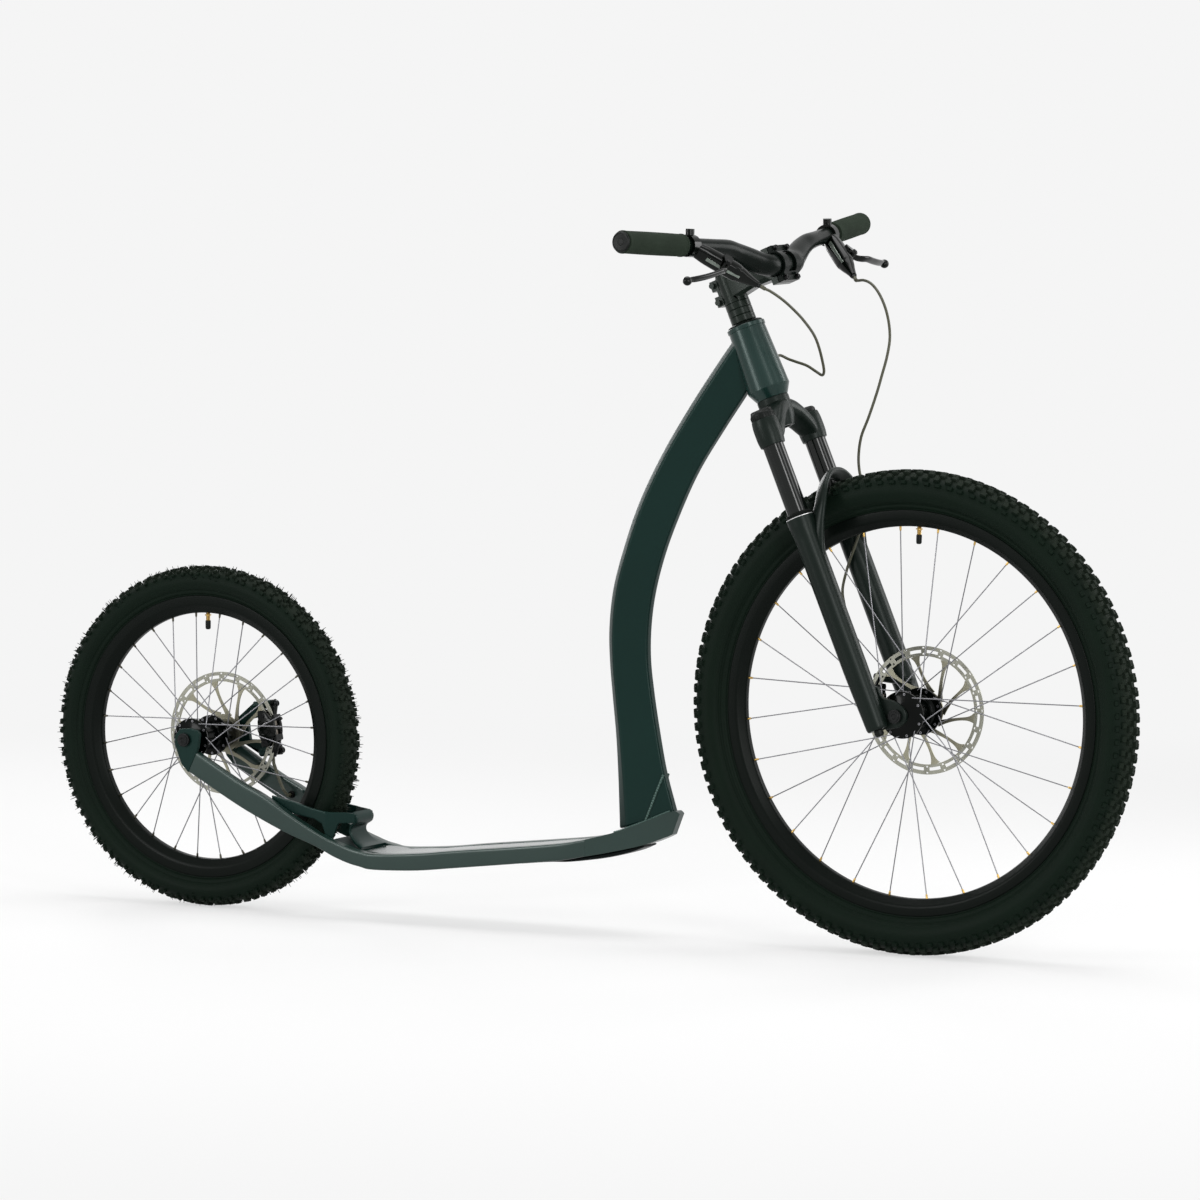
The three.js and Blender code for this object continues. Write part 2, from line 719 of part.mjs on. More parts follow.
/** What lies below the slanting weld at the tube's foot, as a tool. */
function footWedge(shift) {
  const seamTopShares = [0.323, 0.1196];
  const seamFootShares = [0.2085, 0.019];
  const rise = tubeHead.z - tubeFoot.z;
  const reach = tubeHead.x - tubeFoot.x;
  const [high, low] = [seamTopShares, seamFootShares].map(([x, z]) => [
    tubeFoot.x + x * reach - shift, tubeFoot.z + z * rise + shift]);
  const far = tubeHead.x;
  return slab([low, [low[0], 0], [far, 0], [far, high[1]], high], -deckHalfWidth, deckHalfWidth);
}

/** The nose's top, grown by a clearance and carried down to the ground, as a tool. */
function noseTool(clear) {
  const tops = noseShares.map(([x, z]) => [deckX(x), deckZ(z) + clear]);
  const end = deckX(1) + overrun;
  return slab([...tops, [end, 0], [tops[0][0] - deckRibDepth, 0], [tops[0][0] - deckRibDepth, tops[0][1]]],
    -deckHalfWidth, deckHalfWidth);
}

function headTube() {
  const bearingSeat = steererFootRadius + gap;
  const lowerSeat = headLowerRadius - headWall;
  const upperSeat = headUpperRadius - headWall;
  const lipFrom = headTubeHeight - headLipHeight;
  const bore = headUpperRadius - 2 * headWall;
  const seatTop = headConeHeight + lowerBearingHeight;
  const upperFrom = headTubeHeight - upperBearingHeight;
  const mouth = bearingSeat + 2 * gap;
  const profile = [[mouth, 0], [headFootRadius, 0], [headLowerRadius, headConeHeight],
    [headUpperRadius, lipFrom], [headUpperRadius + headLip, lipFrom],
    [headUpperRadius + headLip, headTubeHeight], [upperSeat, headTubeHeight], [upperSeat, upperFrom],
    [bore, upperFrom], [bearingSeat + headWall, seatTop], [lowerSeat, seatTop], [lowerSeat, headConeHeight],
    [mouth, headConeHeight], [mouth, 0]];
  return turned(profile, roundFacets);
}

/** Bearing rings between head tube and steerer. */
function lowerBearing() {
  return collar(steererFootRadius + gap, headLowerRadius - headWall - gap, headConeHeight + gap,
    headConeHeight + lowerBearingHeight - gap, roundFacets);
}

function upperBearing() {
  const from = headTubeHeight - upperBearingHeight + gap;
  const seat = headUpperRadius - headWall - gap;
  const cover = headTubeHeight + gap;
  const inner = steererRadius + gap;
  return turned([[inner, from], [seat, from], [seat, cover], [dustCoverRadius, cover],
    [dustCoverRadius, cover + dustCoverHeight / 2], [spacerRadius, cover + dustCoverHeight],
    [inner, cover + dustCoverHeight], [inner, from]], roundFacets);
}

/** A dropout holds the rear axle's end and closes the end of its rail. */
function dropout(side) {
  const half = rearWheel.hubWidth / 2 + gap;
  const [from, to] = [half, half + dropoutPlate].map((y) => side * y);
  const tail = railOutline(railShares, 0);
  const axleHeight = rearAxle.z;
  const clear = gap * 2;
  const rim = rearDropoutRadius;
  const outline = [[tail.top[0] - clear, tail.top[1]], [rim * 1.3, axleHeight - rim * 0.5],
    [rim * 1.45, axleHeight + rim * 0.55], [rim * 1.2, axleHeight + rim * 0.85], [rim * 0.5, axleHeight + rim],
    [-rim * 0.5, axleHeight + rim * 0.9], [-rim, axleHeight + rim * 0.3], [-rim, axleHeight - rim * 0.5],
    [-rim * 0.35, axleHeight - rim * 2.1], [tail.low[0] - clear, tail.low[1] - clear]];
  const plate = slab(outline, Math.min(from, to), Math.max(from, to));
  const hole = rod(point(0, -half * 2, axleHeight), point(0, half * 2, axleHeight), axleRadius + gap, smallFacets);
  return cut(plate, hole);
}

/** The caliper's tab on the left dropout, in the caliper's frame. */
function rearTab() {
  const plane = rearWheel.rotorPlane;
  const face = rearWheel.hubWidth / 2 + gap;
  const inner = caliperRadius - caliperHeight / 2 - 2 * gap;
  const half = postSpacing / 2 + postRadius;
  const web = postRadius * 2;
  const outline = [[rearDropoutRadius * 0.4, -rearDropoutRadius * 0.5], [inner - web, -half * 0.98],
    [inner, -half], [inner, -half + web], [inner - web / 2, -half + web * 1.6],
    [inner - web / 2, half - web * 1.6], [inner, half - web], [inner, half], [inner - web, half],
    [rearDropoutRadius * 0.4, rearDropoutRadius * 0.8]];
  const window = slab([[inner - web * 2.4, -half * 0.35], [inner - web, -half * 0.4],
    [inner - web, half * 0.4], [inner - web * 2.4, half * 0.35]], face - overrun, face + dropoutPlate + overrun);
  const plate = cut(slab(outline, face, face + dropoutPlate), window);
  return join(plate, ...posts(plane, inner - web));
}

/** The deck's plate between the rails, with ribs under it. */
function deckPlate() {
  const inner = (row) => {
    const { top, outer } = railOutline(railShares, row);
    return [top[0], outer - railFootWidth - gap, top[1]];
  };
  const rows = [6, 7, 8, 9, 10, 11, 12].map(inner);
  const rings = rows.map(([x, y, z]) => {
    const [high, low] = [z - deckPlateInset, z - deckPlateInset - deckPlateThickness];
    return [point(x, -y, high), point(x, -y, low), point(x, y, low), point(x, y, high)];
  });
  const ribs = [2, 4].map((row) => {
    const [x, y, z] = rows[row];
    return block(point(x - deckRibThickness / 2, -y, z - deckPlateInset - deckPlateThickness - deckRibDepth),
      point(x + deckRibThickness / 2, y, z - deckPlateInset - deckPlateThickness / 2));
  });
  return join(loft(rings), ...ribs);
}

/** A plate under the front of the deck and the nose. */
function bellyPlate() {
  const stations = [...railShares.slice(-3), ...noseShares.slice(1, 3)];
  const insetShare = 0.8;
  const rings = stations.map(([, , x, z, wide]) => {
    const [high, half] = [deckZ(z) - gap, insetShare * wide * deckHalfWidth];
    const at = deckX(x);
    return [point(at, -half, high - bellyThickness), point(at, -half, high), point(at, half, high),
      point(at, half, high - bellyThickness)];
  });
  return loft(rings);
}

/** The yoke bridges the rails in front of the rear tyre. */
function yoke() {
  const yokeShares = {
    rise: [0.172, 0.69], crest: [0.217, 0.668], dip: [0.256, 0.635],
    neck: [0.29, 0.616], brow: [0.3256, 0.612], lip: [0.337, 0.558], chin: [0.327, 0.538],
    throat: [0.3245, 0.506], sole: [0.331, 0.468], toe: [0.349, 0.419],
  };
  const at = ([x, z]) => [deckX(x), deckZ(z)];
  const s = yokeShares;
  const railTop = (row, lift = gap * 2) => {
    const { top } = railOutline(railShares, row);
    return [top[0], top[1] + lift];
  };
  const outline = [at(s.rise), at(s.crest), at(s.dip), at(s.neck), at(s.brow), at(s.lip), at(s.chin),
    at(s.throat), at(s.sole), railTop(5), railTop(4), railTop(3)];
  const slotShares = [[0.2156, 0.573], [0.235, 0.562], [0.2675, 0.531], [0.2805, 0.506],
    [0.276, 0.5], [0.2552, 0.52]];
  const windowShares = [[0.3165, 0.515], [0.3215, 0.546], [0.3265, 0.54], [0.3245, 0.478], [0.314, 0.478]];
  const wide = yokeHalfWidth + overrun;
  const open = (shares) => slab(shares.map(at), -wide, wide);
  const [out, mid, front] = [yokeHalfWidth, yokeFrontHalf, deckX(s.lip[0])];
  const back = deckX(s.rise[0]) - overrun;
  const fold = deckX(s.neck[0]) + overrun * 4;
  const t = yokeThickness;
  const plan = [[back, -out], [fold, -out], [front, -mid], [front, mid], [fold, out], [back, out],
    [back, out - t], [fold - t / 2, out - t], [front - t * 2, mid - t / 2], [front - t * 2, -mid + t / 2],
    [fold - t / 2, -out + t], [back, -out + t]];
  const belt = solid(prism(plan, 0, rearAxle.z));
  const shell = belt.intersect(solid(slab(outline, -wide, wide)));
  const wallHalf = mid - t;
  const wall = slab([at(s.lip), at(s.chin), at(s.throat), at(s.sole), at(s.toe),
    [deckX(s.toe[0]) - t * 2, deckZ(s.toe[1])], [deckX(s.sole[0]) - t, deckZ(s.sole[1])],
    [deckX(s.throat[0]) - t, deckZ(s.throat[1])], [deckX(s.chin[0]) - t, deckZ(s.chin[1]) + t]],
  -wallHalf, wallHalf);
  return join(cut(shell, open(slotShares), open(windowShares)), wall);
}

// Steering assembly, in a frame whose Z axis is the steering axis and whose X axis points forward

const crownFoot = -crownDrop;
const lowersTop = crownFoot - forkTravel - gap - wiperHeight - gap;
const axleDown = -axleToHead;

function crownAndSteerer() {
  // Half of the arch, from the steerer out to the sleeves: y, rear x, front x, low z and high z as shares
  const crownShares = [
    [0, -1.5, 1.6, 0.4, 0.05],
    [0.28, -1.25, 1.7, 0.5, 0.1],
    [0.54, -0.75, 1.8, 0.7, 0.26],
    [0.78, -0.45, 1.8, 0.93, 0.4],
    [0.96, -0.35, 1.55, 0.98, 0.46],
  ];
  const ring = (sign) => ([out, rear, fore, low, high]) => {
    const y = sign * out * legSpread;
    const [x0, x1] = [rear * crownReach, fore * crownReach];
    const [z0, z1] = [crownFoot * low, crownFoot * high];
    const trimShare = 0.22;
    const [dx, dz] = [(x1 - x0) * trimShare, (z1 - z0) * trimShare];
    return [point(x0 + dx, y, z0), point(x0, y, z0 + dz), point(x0, y, z1 - dz), point(x0 + dx, y, z1),
      point(x1 - dx, y, z1), point(x1, y, z1 - dz), point(x1, y, z0 + dz), point(x1 - dx, y, z0)];
  };
  const right = crownShares.slice(1).reverse().map(ring(-1));
  const left = crownShares.map(ring(1));
  const bridge = loft([...right, ...left]);
  const bulge = sleeveRadius;
  const mouth = sleeveRadius * 0.92;
  const sleeves = [-1, 1].map((side) => turned([[0, crownFoot], [mouth, crownFoot],
    [bulge, crownFoot + sleeveHeight * 0.3], [bulge, crownFoot + sleeveHeight * 0.7],
    [mouth, crownFoot + sleeveHeight], [0, crownFoot + sleeveHeight]], roundFacets)
    .translate(legForward, side * legSpread, 0));
  const bores = [-1, 1].map((side) => turned([[0, crownFoot - overrun], [stanchionRadius + gap, crownFoot - overrun],
    [stanchionRadius + gap, overrun], [0, overrun]], roundFacets)
    .translate(legForward, side * legSpread, 0));
  const race = steererFootRadius + gap;
  const top = headTubeHeight + dustCoverHeight + spacerStack + stemHeight + gap;
  const base = crownFoot * 0.3;
  const steerer = turned([[0, base], [headFootRadius, base], [headFootRadius, -gap], [race - gap, -gap],
    [steererFootRadius, steererFootHeight], [steererRadius, steererFootHeight + steererFootRadius],
    [steererRadius, top], [0, top]], roundFacets);
  const bore = turned([[0, crownFoot], [steererRadius - steererWall, crownFoot],
    [steererRadius - steererWall, top + overrun], [0, top + overrun]], roundFacets);
  const pockets = [-1, 1].map((side) => turned([[0, crownFoot + sleeveHeight], [sleeveRadius, crownFoot + sleeveHeight],
    [sleeveRadius, overrun], [0, overrun]], roundFacets).translate(legForward, side * legSpread, 0));
  return cut(join(bridge, ...sleeves), ...pockets).add(solid(steerer)).subtract(solid(bore))
    .subtract(solid(bores[0])).subtract(solid(bores[1]));
}

function stanchion(side) {
  const top = crownFoot + sleeveHeight - gap;
  return collar(stanchionRadius - stanchionWall, stanchionRadius, top - stanchionLength, top, roundFacets)
    .translate(legForward, side * legSpread, 0);
}

/** A cap on top of a leg; the right one is a knob with a raised grip bar. */
function legCap(side, height) {
  const base = crownFoot + sleeveHeight + gap;
  const rim = side < 0 ? knobRadius : sleeveRadius * 0.8;
  const barHalf = rim * 0.18;
  const cap = turned([[0, base], [rim, base], [rim, base + height * 0.75], [rim * 0.86, base + height],
    [0, base + height]], roundFacets).translate(legForward, side * legSpread, 0);
  if (side > 0) return solid(cap);
  const bar = block(point(legForward - rim * 0.9, side * legSpread - barHalf, base + height / 2),
    point(legForward + rim * 0.9, side * legSpread + barHalf, base + height * 1.3));
  return join(cap, bar);
}

function wiper(side) {
  const from = lowersTop + gap;
  return collar(stanchionRadius + gap, wiperRadius, from, from + wiperHeight, roundFacets)
    .translate(legForward, side * legSpread, 0);
}

/** The clearance that each leg of the lowers needs from what stands beside it. */
const legClearance = (side) => rod(point(legForward, side * legSpread, lowersTop),
  point(legForward, side * legSpread, axleDown - 2 * legFootDrop), lowerLegRadius + gap, roundFacets);

/** Both lower legs, the arch in front of them and the axle's dropouts. */
function lowers() {
  const foot = axleDown - legFootDrop;
  const collarEnd = lowersTop - lowerCollarHeight;
  const kneeShare = 0.3;
  const legs = [-1, 1].map((side) => turned([[0, foot], [lowerFootRadius * 0.8, foot],
    [lowerFootRadius, foot + lowerFootRadius], [lowerLegRadius, THREE.MathUtils.lerp(foot, collarEnd, kneeShare)],
    [lowerLegRadius, collarEnd - lowerCollarHeight], [lowerCollarRadius, collarEnd],
    [lowerCollarRadius, lowersTop], [0, lowersTop]], roundFacets)
    .translate(legForward, side * legSpread, 0));
  const bores = [-1, 1].map((side) => turned([[0, lowersTop - boreDepth], [stanchionRadius + gap, lowersTop - boreDepth],
    [stanchionRadius + gap, lowersTop + overrun], [0, lowersTop + overrun]], roundFacets)
    .translate(legForward, side * legSpread, 0));
  return cut(join(legs[0], legs[1], arch(), ...forkDropouts(), ...frontPosts()), ...bores, axleHole());
}

function arch() {
  // y as a share of the legs' spread, x as a share of the reach, z as a share of the rise
  const archShares = [[1, 0.28, -0.9], [0.93, 0.5, -0.45], [0.8, 0.76, 0.1], [0.58, 0.94, 0.66],
    [0.3, 1, 0.93], [0, 1, 1]];
  const place = (sign) => ([out, reach, rise]) => point(legForward + reach * archReach, sign * out * legSpread,
    lowersTop + rise * archRise);
  const route = new THREE.CatmullRomCurve3([...archShares.map(place(-1)),
    ...archShares.slice(0, -1).reverse().map(place(1))], false, "centripetal");
  const steps = 20;
  const lean = point(0.86, 0, 0.5);
  const rings = Array.from({ length: steps + 1 }, (_, i) => {
    const centre = route.getPointAt(i / steps);
    const along = route.getTangentAt(i / steps);
    const across = lean.clone().addScaledVector(along, -lean.dot(along)).normalize();
    const thick = along.clone().cross(across);
    const [a, b] = [archWidth / 2, archThickness / 2];
    return [[a, -b / 2], [a, b / 2], [a / 2, b], [-a / 2, b], [-a, b / 2], [-a, -b / 2], [-a / 2, -b], [a / 2, -b]]
      .map(([u, v]) => centre.clone().addScaledVector(across, u).addScaledVector(thick, v));
  });
  return loft(rings);
}

function forkDropouts() {
  const half = frontWheel.hubWidth / 2 + gap;
  const r = dropoutRadius;
  const outline = [[legForward, axleDown + r * 3.4], [legForward + r * 1.1, axleDown + r * 3.1],
    [forkOffset - r * 0.6, axleDown + r * 2.05], [forkOffset + r * 0.35, axleDown + r * 1.3],
    [forkOffset + r * 0.92, axleDown + r * 0.45], [forkOffset + r, axleDown - r * 0.2],
    [forkOffset + r * 0.7, axleDown - r * 0.75], [forkOffset, axleDown - r], [forkOffset - r * 1.2, axleDown - r * 0.8],
    [legForward, axleDown - legFootDrop * 0.9]];
  return [-1, 1].map((side) => {
    const [a, b] = [side * half, side * (half + dropoutThickness)];
    return slab(outline, Math.min(a, b), Math.max(a, b));
  });
}

const axleHole = () => rod(point(forkOffset, -legSpread, axleDown), point(forkOffset, legSpread, axleDown),
  axleRadius + gap, smallFacets);

/** The caliper's posts on the back of the left leg. */
function frontPosts() {
  const frame = new THREE.Matrix4().makeRotationY(-frontWheel.caliperAngle).setPosition(forkOffset, 0, axleDown);
  const inner = forkOffset - legForward;
  const [far, low] = [caliperRadius - caliperHeight / 2 - 2 * gap, postSpacing / 2 + postRadius];
  const middle = frontWheel.rotorPlane + postOffset;
  const half = postRadius * 0.7;
  const boss = slab([[inner - postRadius, low / 2], [inner, low], [far, low], [far, low - 2 * postRadius],
    [inner + 2 * postRadius, postRadius], [inner + postRadius, 0]], middle - half, middle + half);
  return [...posts(frontWheel.rotorPlane, inner), boss].map((post) => post.applyMatrix4(frame));
}

function reboundKnob() {
  const top = axleDown - legFootDrop - gap;
  return turned([[0, top - reboundKnobHeight], [reboundKnobRadius * 0.8, top - reboundKnobHeight],
    [reboundKnobRadius, top - reboundKnobHeight * 0.7], [reboundKnobRadius, top], [0, top]], smallFacets)
    .translate(legForward, -legSpread, 0);
}

// Stem, bar and controls

const spacersFrom = headTubeHeight + gap + dustCoverHeight + gap;
const stemFrom = spacersFrom + spacerStack + gap;
const stemMiddle = stemFrom + stemHeight / 2;
const barCentre = point(stemLength, 0, stemMiddle + stemRise);

function spacers() {
  const each = spacerStack / spacerCount;
  const outline = [[steererRadius + gap, spacersFrom]];
  for (let k = 0; k < spacerCount; k++) {
    const from = spacersFrom + k * each;
    outline.push([spacerRadius - spacerGroove, from], [spacerRadius, from + spacerGroove],
      [spacerRadius, from + each - spacerGroove]);
  }
  outline.push([spacerRadius - spacerGroove, spacersFrom + spacerStack],
    [steererRadius + gap, spacersFrom + spacerStack], outline[0]);
  return turned(outline, roundFacets);
}

const acrossBar = (radius, half) => rod(point(barCentre.x, -half, barCentre.z), point(barCentre.x, half, barCentre.z),
  radius, roundFacets);

/** A lug for the face plate's bolts above or below the bar, from one distance ahead of it to another. */
function boltLug(side, from, to) {
  const middle = barCentre.z + side * (stemClampRadius + boltRadius / 2);
  const half = stemClampWidth / 2;
  return block(point(barCentre.x + from, -half, middle - boltRadius),
    point(barCentre.x + to, half, middle + boltRadius));
}

const barClear = (barRadius + 2 * gap) / Math.cos(Math.PI / roundFacets);

function stem() {
  const top = stemFrom + stemHeight;
  const clamp = turned([[0, stemFrom], [stemRadius, stemFrom], [stemRadius, top], [0, top]], roundFacets);
  const half = stemWaistWidth / 2;
  const neck = [[stemRadius * 0.3, half, stemMiddle, stemHeight * 0.42],
    [stemLength * 0.45, half * 0.9, stemMiddle + stemRise * 0.4, stemHeight * 0.34],
    [stemLength - stemClampRadius * 0.4, stemClampWidth / 2, barCentre.z, stemClampRadius * 0.86]];
  const arm = loft(neck.map(([x, wide, z, high]) => {
    const trim = wide * 0.3;
    return [[-wide, -high + trim], [-wide, high - trim], [-wide + trim, high], [wide - trim, high],
      [wide, high - trim], [wide, -high + trim], [wide - trim, -high], [-wide + trim, -high]]
      .map(([y, up]) => point(x, y, z + up));
  }));
  const socket = acrossBar(stemClampRadius, stemClampWidth / 2);
  const ears = block(point(-stemRadius - boltRadius * 2, -boltRadius * 2.4, stemFrom + boltRadius / 2),
    point(-stemRadius * 0.8, boltRadius * 2.4, top - boltRadius / 2));
  const lugs = [-1, 1].map((side) => boltLug(side, -lugDepth, -gap));
  const front = block(point(barCentre.x, -stemClampWidth, barCentre.z - stemClampWidth),
    point(barCentre.x + stemClampWidth, stemClampWidth, barCentre.z + stemClampWidth));
  const slot = block(point(-stemRadius * 2, -gap * 2, stemFrom - overrun), point(0, gap * 2, top + overrun));
  const waist = block(point(-stemRadius * 2, -stemRadius, stemMiddle - boltRadius),
    point(-stemRadius - boltRadius / 4, stemRadius, stemMiddle + boltRadius));
  const bolts = [-1, 1].map((side) => rod(
    point(-stemRadius - boltRadius, -boltRadius * 2.4 - boltHead, stemMiddle + side * stemHeight * 0.3),
    point(-stemRadius - boltRadius, boltRadius * 2.4, stemMiddle + side * stemHeight * 0.3), boltRadius, smallFacets));
  const bore = turned([[0, stemFrom - overrun], [steererRadius + gap, stemFrom - overrun],
    [steererRadius + gap, top + overrun], [0, top + overrun]], roundFacets);
  const body = cut(join(clamp, arm, socket, ears, ...lugs), slot, waist);
  return cut(join(body, ...bolts), bore, front, acrossBar(barClear, stemClampWidth));
}

/** The face plate: two bands over the bar, joined at their bolt lugs. */
function facePlate() {
  const half = stemClampWidth / 2;
  const back = block(point(barCentre.x - stemClampWidth, -stemClampWidth, barCentre.z - stemClampWidth),
    point(barCentre.x + 2 * gap, stemClampWidth, barCentre.z + stemClampWidth));
  const ring = acrossBar(stemClampRadius, half);
  const lugs = [-1, 1].map((side) => boltLug(side, gap, lugDepth * 0.8));
  const window = block(point(barCentre.x + boltHead, -half + faceBandWidth, barCentre.z - stemClampRadius * 0.72),
    point(barCentre.x + stemClampWidth, half - faceBandWidth, barCentre.z + stemClampRadius * 0.72));
  return cut(join(ring, ...lugs), back, window, acrossBar(barClear, stemClampWidth));
}

function topCap() {
  const base = stemFrom + stemHeight + gap * 2;
  return turned([[0, base], [topCapRadius, base], [topCapRadius, base + topCapHeight * 0.6],
    [topCapRadius * 0.85, base + topCapHeight], [0, base + topCapHeight]], roundFacets);
}

/** Half of the bar's centre line as shares: how far out, how far swept back, how far risen. */
const barShares = [[0, 0, 0], [0.04, 0, 0], [0.07, 0, 0], [0.1, 0.01, 0.01], [0.145, 0.132, 0.101],
  [0.2055, 0.222, 0.249], [0.274, 0.267, 0.402], [0.33, 0.243, 0.504], [0.3836, 0.265, 0.555],
  [0.581, 0.5, 0.697], [1, 1, 1]];
const barPoint = (sign) => ([out, back, up]) => point(barCentre.x - back * barSweep, sign * out * barHalfWidth,
  barCentre.z + up * barRise);
const barRoute = (sign) => new THREE.CatmullRomCurve3(barShares.map(barPoint(sign)), false, "centripetal");

/** The point of the bar's centre line at a distance from its middle plane, and its direction outward. */
function barAt(distance, sign) {
  const route = barRoute(sign);
  let [low, high] = [0, 1];
  for (let k = 0; k < 30; k++) {
    const middle = (low + high) / 2;
    if (Math.abs(route.getPointAt(middle).y) < distance) low = middle;
    else high = middle;
  }
  return { at: route.getPointAt(low), out: route.getTangentAt(low) };
}

function handlebar() {
  const route = new THREE.CatmullRomCurve3([...barShares.map(barPoint(-1)).reverse(),
    ...barShares.slice(1).map(barPoint(1))], false, "centripetal");
  const steps = 40;
  const thickShare = 0.17;
  const thinShare = 0.45;
  const radius = (inset) => (share) => {
    const out = Math.abs(share * 2 - 1);
    const blend = THREE.MathUtils.smoothstep(out, thickShare, thinShare);
    return THREE.MathUtils.lerp(barRadius, barEndRadius, blend) - inset;
  };
  const outer = loft(tubeRings(route, radius(0), smallFacets, steps));
  const boreRings = tubeRings(route, radius(barWall), boreSides, steps);
  for (const [ring, sign] of [[boreRings[0], -1], [boreRings[boreRings.length - 1], 1]]) {
    ring.forEach((p) => p.add(point(0, sign * overrun, 0)));
  }
  return cut(outer, loft(boreRings));
}

/** A sleeve round the bar's end, from one distance along it to another. */
function barSleeve(sign, from, to, inner, outer, facets) {
  const [a, b] = [barAt(from, sign), barAt(to, sign)];
  const tail = a.at.clone().addScaledVector(a.out, -overrun);
  const head = b.at.clone().addScaledVector(b.out, overrun);
  return cut(rod(a.at, b.at, outer, facets), rod(tail, head, inner, facets));
}

function grip(sign) {
  return barSleeve(sign, barHalfWidth - gripLength, barHalfWidth - gap, barEndRadius + gap * 2, gripRadius,
    roundFacets);
}

function plug(sign) {
  const { at, out } = barAt(barHalfWidth, sign);
  const along = (distance) => at.clone().addScaledVector(out, distance);
  return join(rod(along(gap), along(plugThickness), plugRadius, roundFacets),
    rod(along(-plugShank), along(plugThickness / 2), (barEndRadius - barWall) * 0.8, boreSides));
}

/** Where the master cylinder's line leaves the bar clamp, and the lever's pivot beside it. */
function leverPlaces(sign) {
  const { at, out } = barAt(leverStation, sign);
  const run = point(masterForward, -sign * masterInboard, -masterDrop);
  const outward = point(-0.121, sign * 0.978, -0.171).normalize();
  const down = point(0.475, 0, -0.880);
  const away = down.addScaledVector(outward, -down.dot(outward)).normalize();
  const hinge = outward.clone().cross(away).normalize().multiplyScalar(-sign);
  const along = (share) => at.clone().addScaledVector(run, share);
  const side = hinge.clone().cross(run).normalize().multiplyScalar(sign);
  const pivot = along(pivotShare).addScaledVector(side, pivotStand).addScaledVector(hinge, pivotLevel);
  return { at, out, run, away, outward, hinge, side, pivot, along };
}

function master(sign) {
  const { at, out, run, away, hinge, side, pivot, along } = leverPlaces(sign);
  const bodyShares = [[0.05, 0.6], [0.28, 0.96], [0.4, 1.08], [0.54, 1.12], [0.72, 0.98], [0.87, 0.64], [1, 0.37]];
  const forward = run.clone().normalize();
  const flatWay = hinge.clone().addScaledVector(forward, -hinge.dot(forward)).normalize();
  const deepWay = forward.clone().cross(flatWay);
  const slimShare = 0.68;
  const rings = bodyShares.map(([share, size]) => circle(masterRadius * size, smallFacets).map((p) => along(share)
    .addScaledVector(flatWay, p.x).addScaledVector(deepWay, p.y * slimShare)));
  const nozzle = rod(along(0.98), along(masterNozzleShare), masterTipRadius * 0.8, hoseSides);
  const half = leverClampWidth / 2;
  const clampOuter = barEndRadius + gap + leverClampWall;
  const [inner, outer] = [-half, half].map((d) => at.clone().addScaledVector(out, d));
  const boreEnds = [-masterRadius * 3, masterRadius * 3].map((d) => at.clone().addScaledVector(out, d));
  const upright = point(Math.cos(headAngle), 0, Math.sin(headAngle));
  const raised = upright.addScaledVector(out, -upright.dot(out)).normalize();
  const lug = rod(at.clone().addScaledVector(raised, clampOuter * 0.7),
    at.clone().addScaledVector(raised, clampOuter * 1.5), half * 0.85, smallFacets);
  const fore = hinge.clone().cross(side);
  const r = pivotRadius;
  const earOutline = [[-r * 2.6, -r * 1.5], [0, -r], [r * 0.7, -r * 0.7], [r, 0], [r * 0.7, r * 0.7], [0, r],
    [-r * 2.6, r * 1.5]];
  const postOutline = [[-r * 3.2, -r], [-r * 1.7, -r], [-r * 1.7, r], [-r * 3.2, r]];
  const basis = new THREE.Matrix4().makeBasis(side, fore, hinge).setPosition(pivot);
  const face = bladeWidth / 2 + gap;
  const ears = [
    prism(earOutline, -face - earThickness, -face), prism(earOutline, face, face + earThickness),
    prism(postOutline, -pivotLevel, face + earThickness),
  ].map((ear) => ear.applyMatrix4(basis));
  const bore = rod(boreEnds[0], boreEnds[1], barEndRadius + gap * 2, roundFacets);
  return cut(join(rod(inner, outer, clampOuter, roundFacets), loft(rings), nozzle, lug, ...ears), bore);
}

function blade(sign) {
  const { away, outward, hinge, pivot } = leverPlaces(sign);
  // Outward, away from the bar and up the hinge, as shares of the blade's length, then the blade's size
  const bladeShares = [[0, 0, 0, 0.8], [0.09, 0.045, 0.01, 0.9], [0.18, 0.075, 0.04, 1], [0.28, 0.08, 0.063, 1],
    [0.45, 0.068, 0.063, 1], [0.62, 0.05, 0.063, 1], [0.81, 0.018, 0.063, 1], [0.93, -0.009, 0.063, 0.9],
    [1, -0.014, 0.063, 0.8]];
  const place = (out, off, up) => pivot.clone().addScaledVector(outward, out * bladeLength)
    .addScaledVector(away, off * bladeLength).addScaledVector(hinge, up * bladeLength);
  const rings = bladeShares.map(([out, off, up, size]) => {
    const [a, b] = [bladeWidth / 2 * size, bladeThickness / 2 * size];
    return circle(1, hoseSides).map((p) => place(out, off, up).addScaledVector(hinge, p.x * a)
      .addScaledVector(away, p.y * b));
  });
  const barrel = rod(pivot.clone().addScaledVector(hinge, -bladeWidth / 2),
    pivot.clone().addScaledVector(hinge, bladeWidth / 2), pivotRadius - gap, smallFacets);
  const tip = place(...bladeShares.at(-1));
  const ball = new THREE.SphereGeometry(bladeTipRadius, hoseSides, boreSides).translate(tip.x, tip.y, tip.z);
  return join(barrel, loft(rings), ball);
}

// Hose routes, in the steering frame, from the master cylinders down

const masterEnd = (sign, reach) => {
  const { run, along } = leverPlaces(sign);
  return along(masterNozzleShare + reach).addScaledVector(run.clone().normalize(), gap);
};

// On the left of the head tube
const portSide = point(0.35, 0.937, 0);
const hosePort = portSide.clone().multiplyScalar(portRadius).add(point(0, 0, portHeight));
const hoseClip = point(52.3, 68, -152.2);

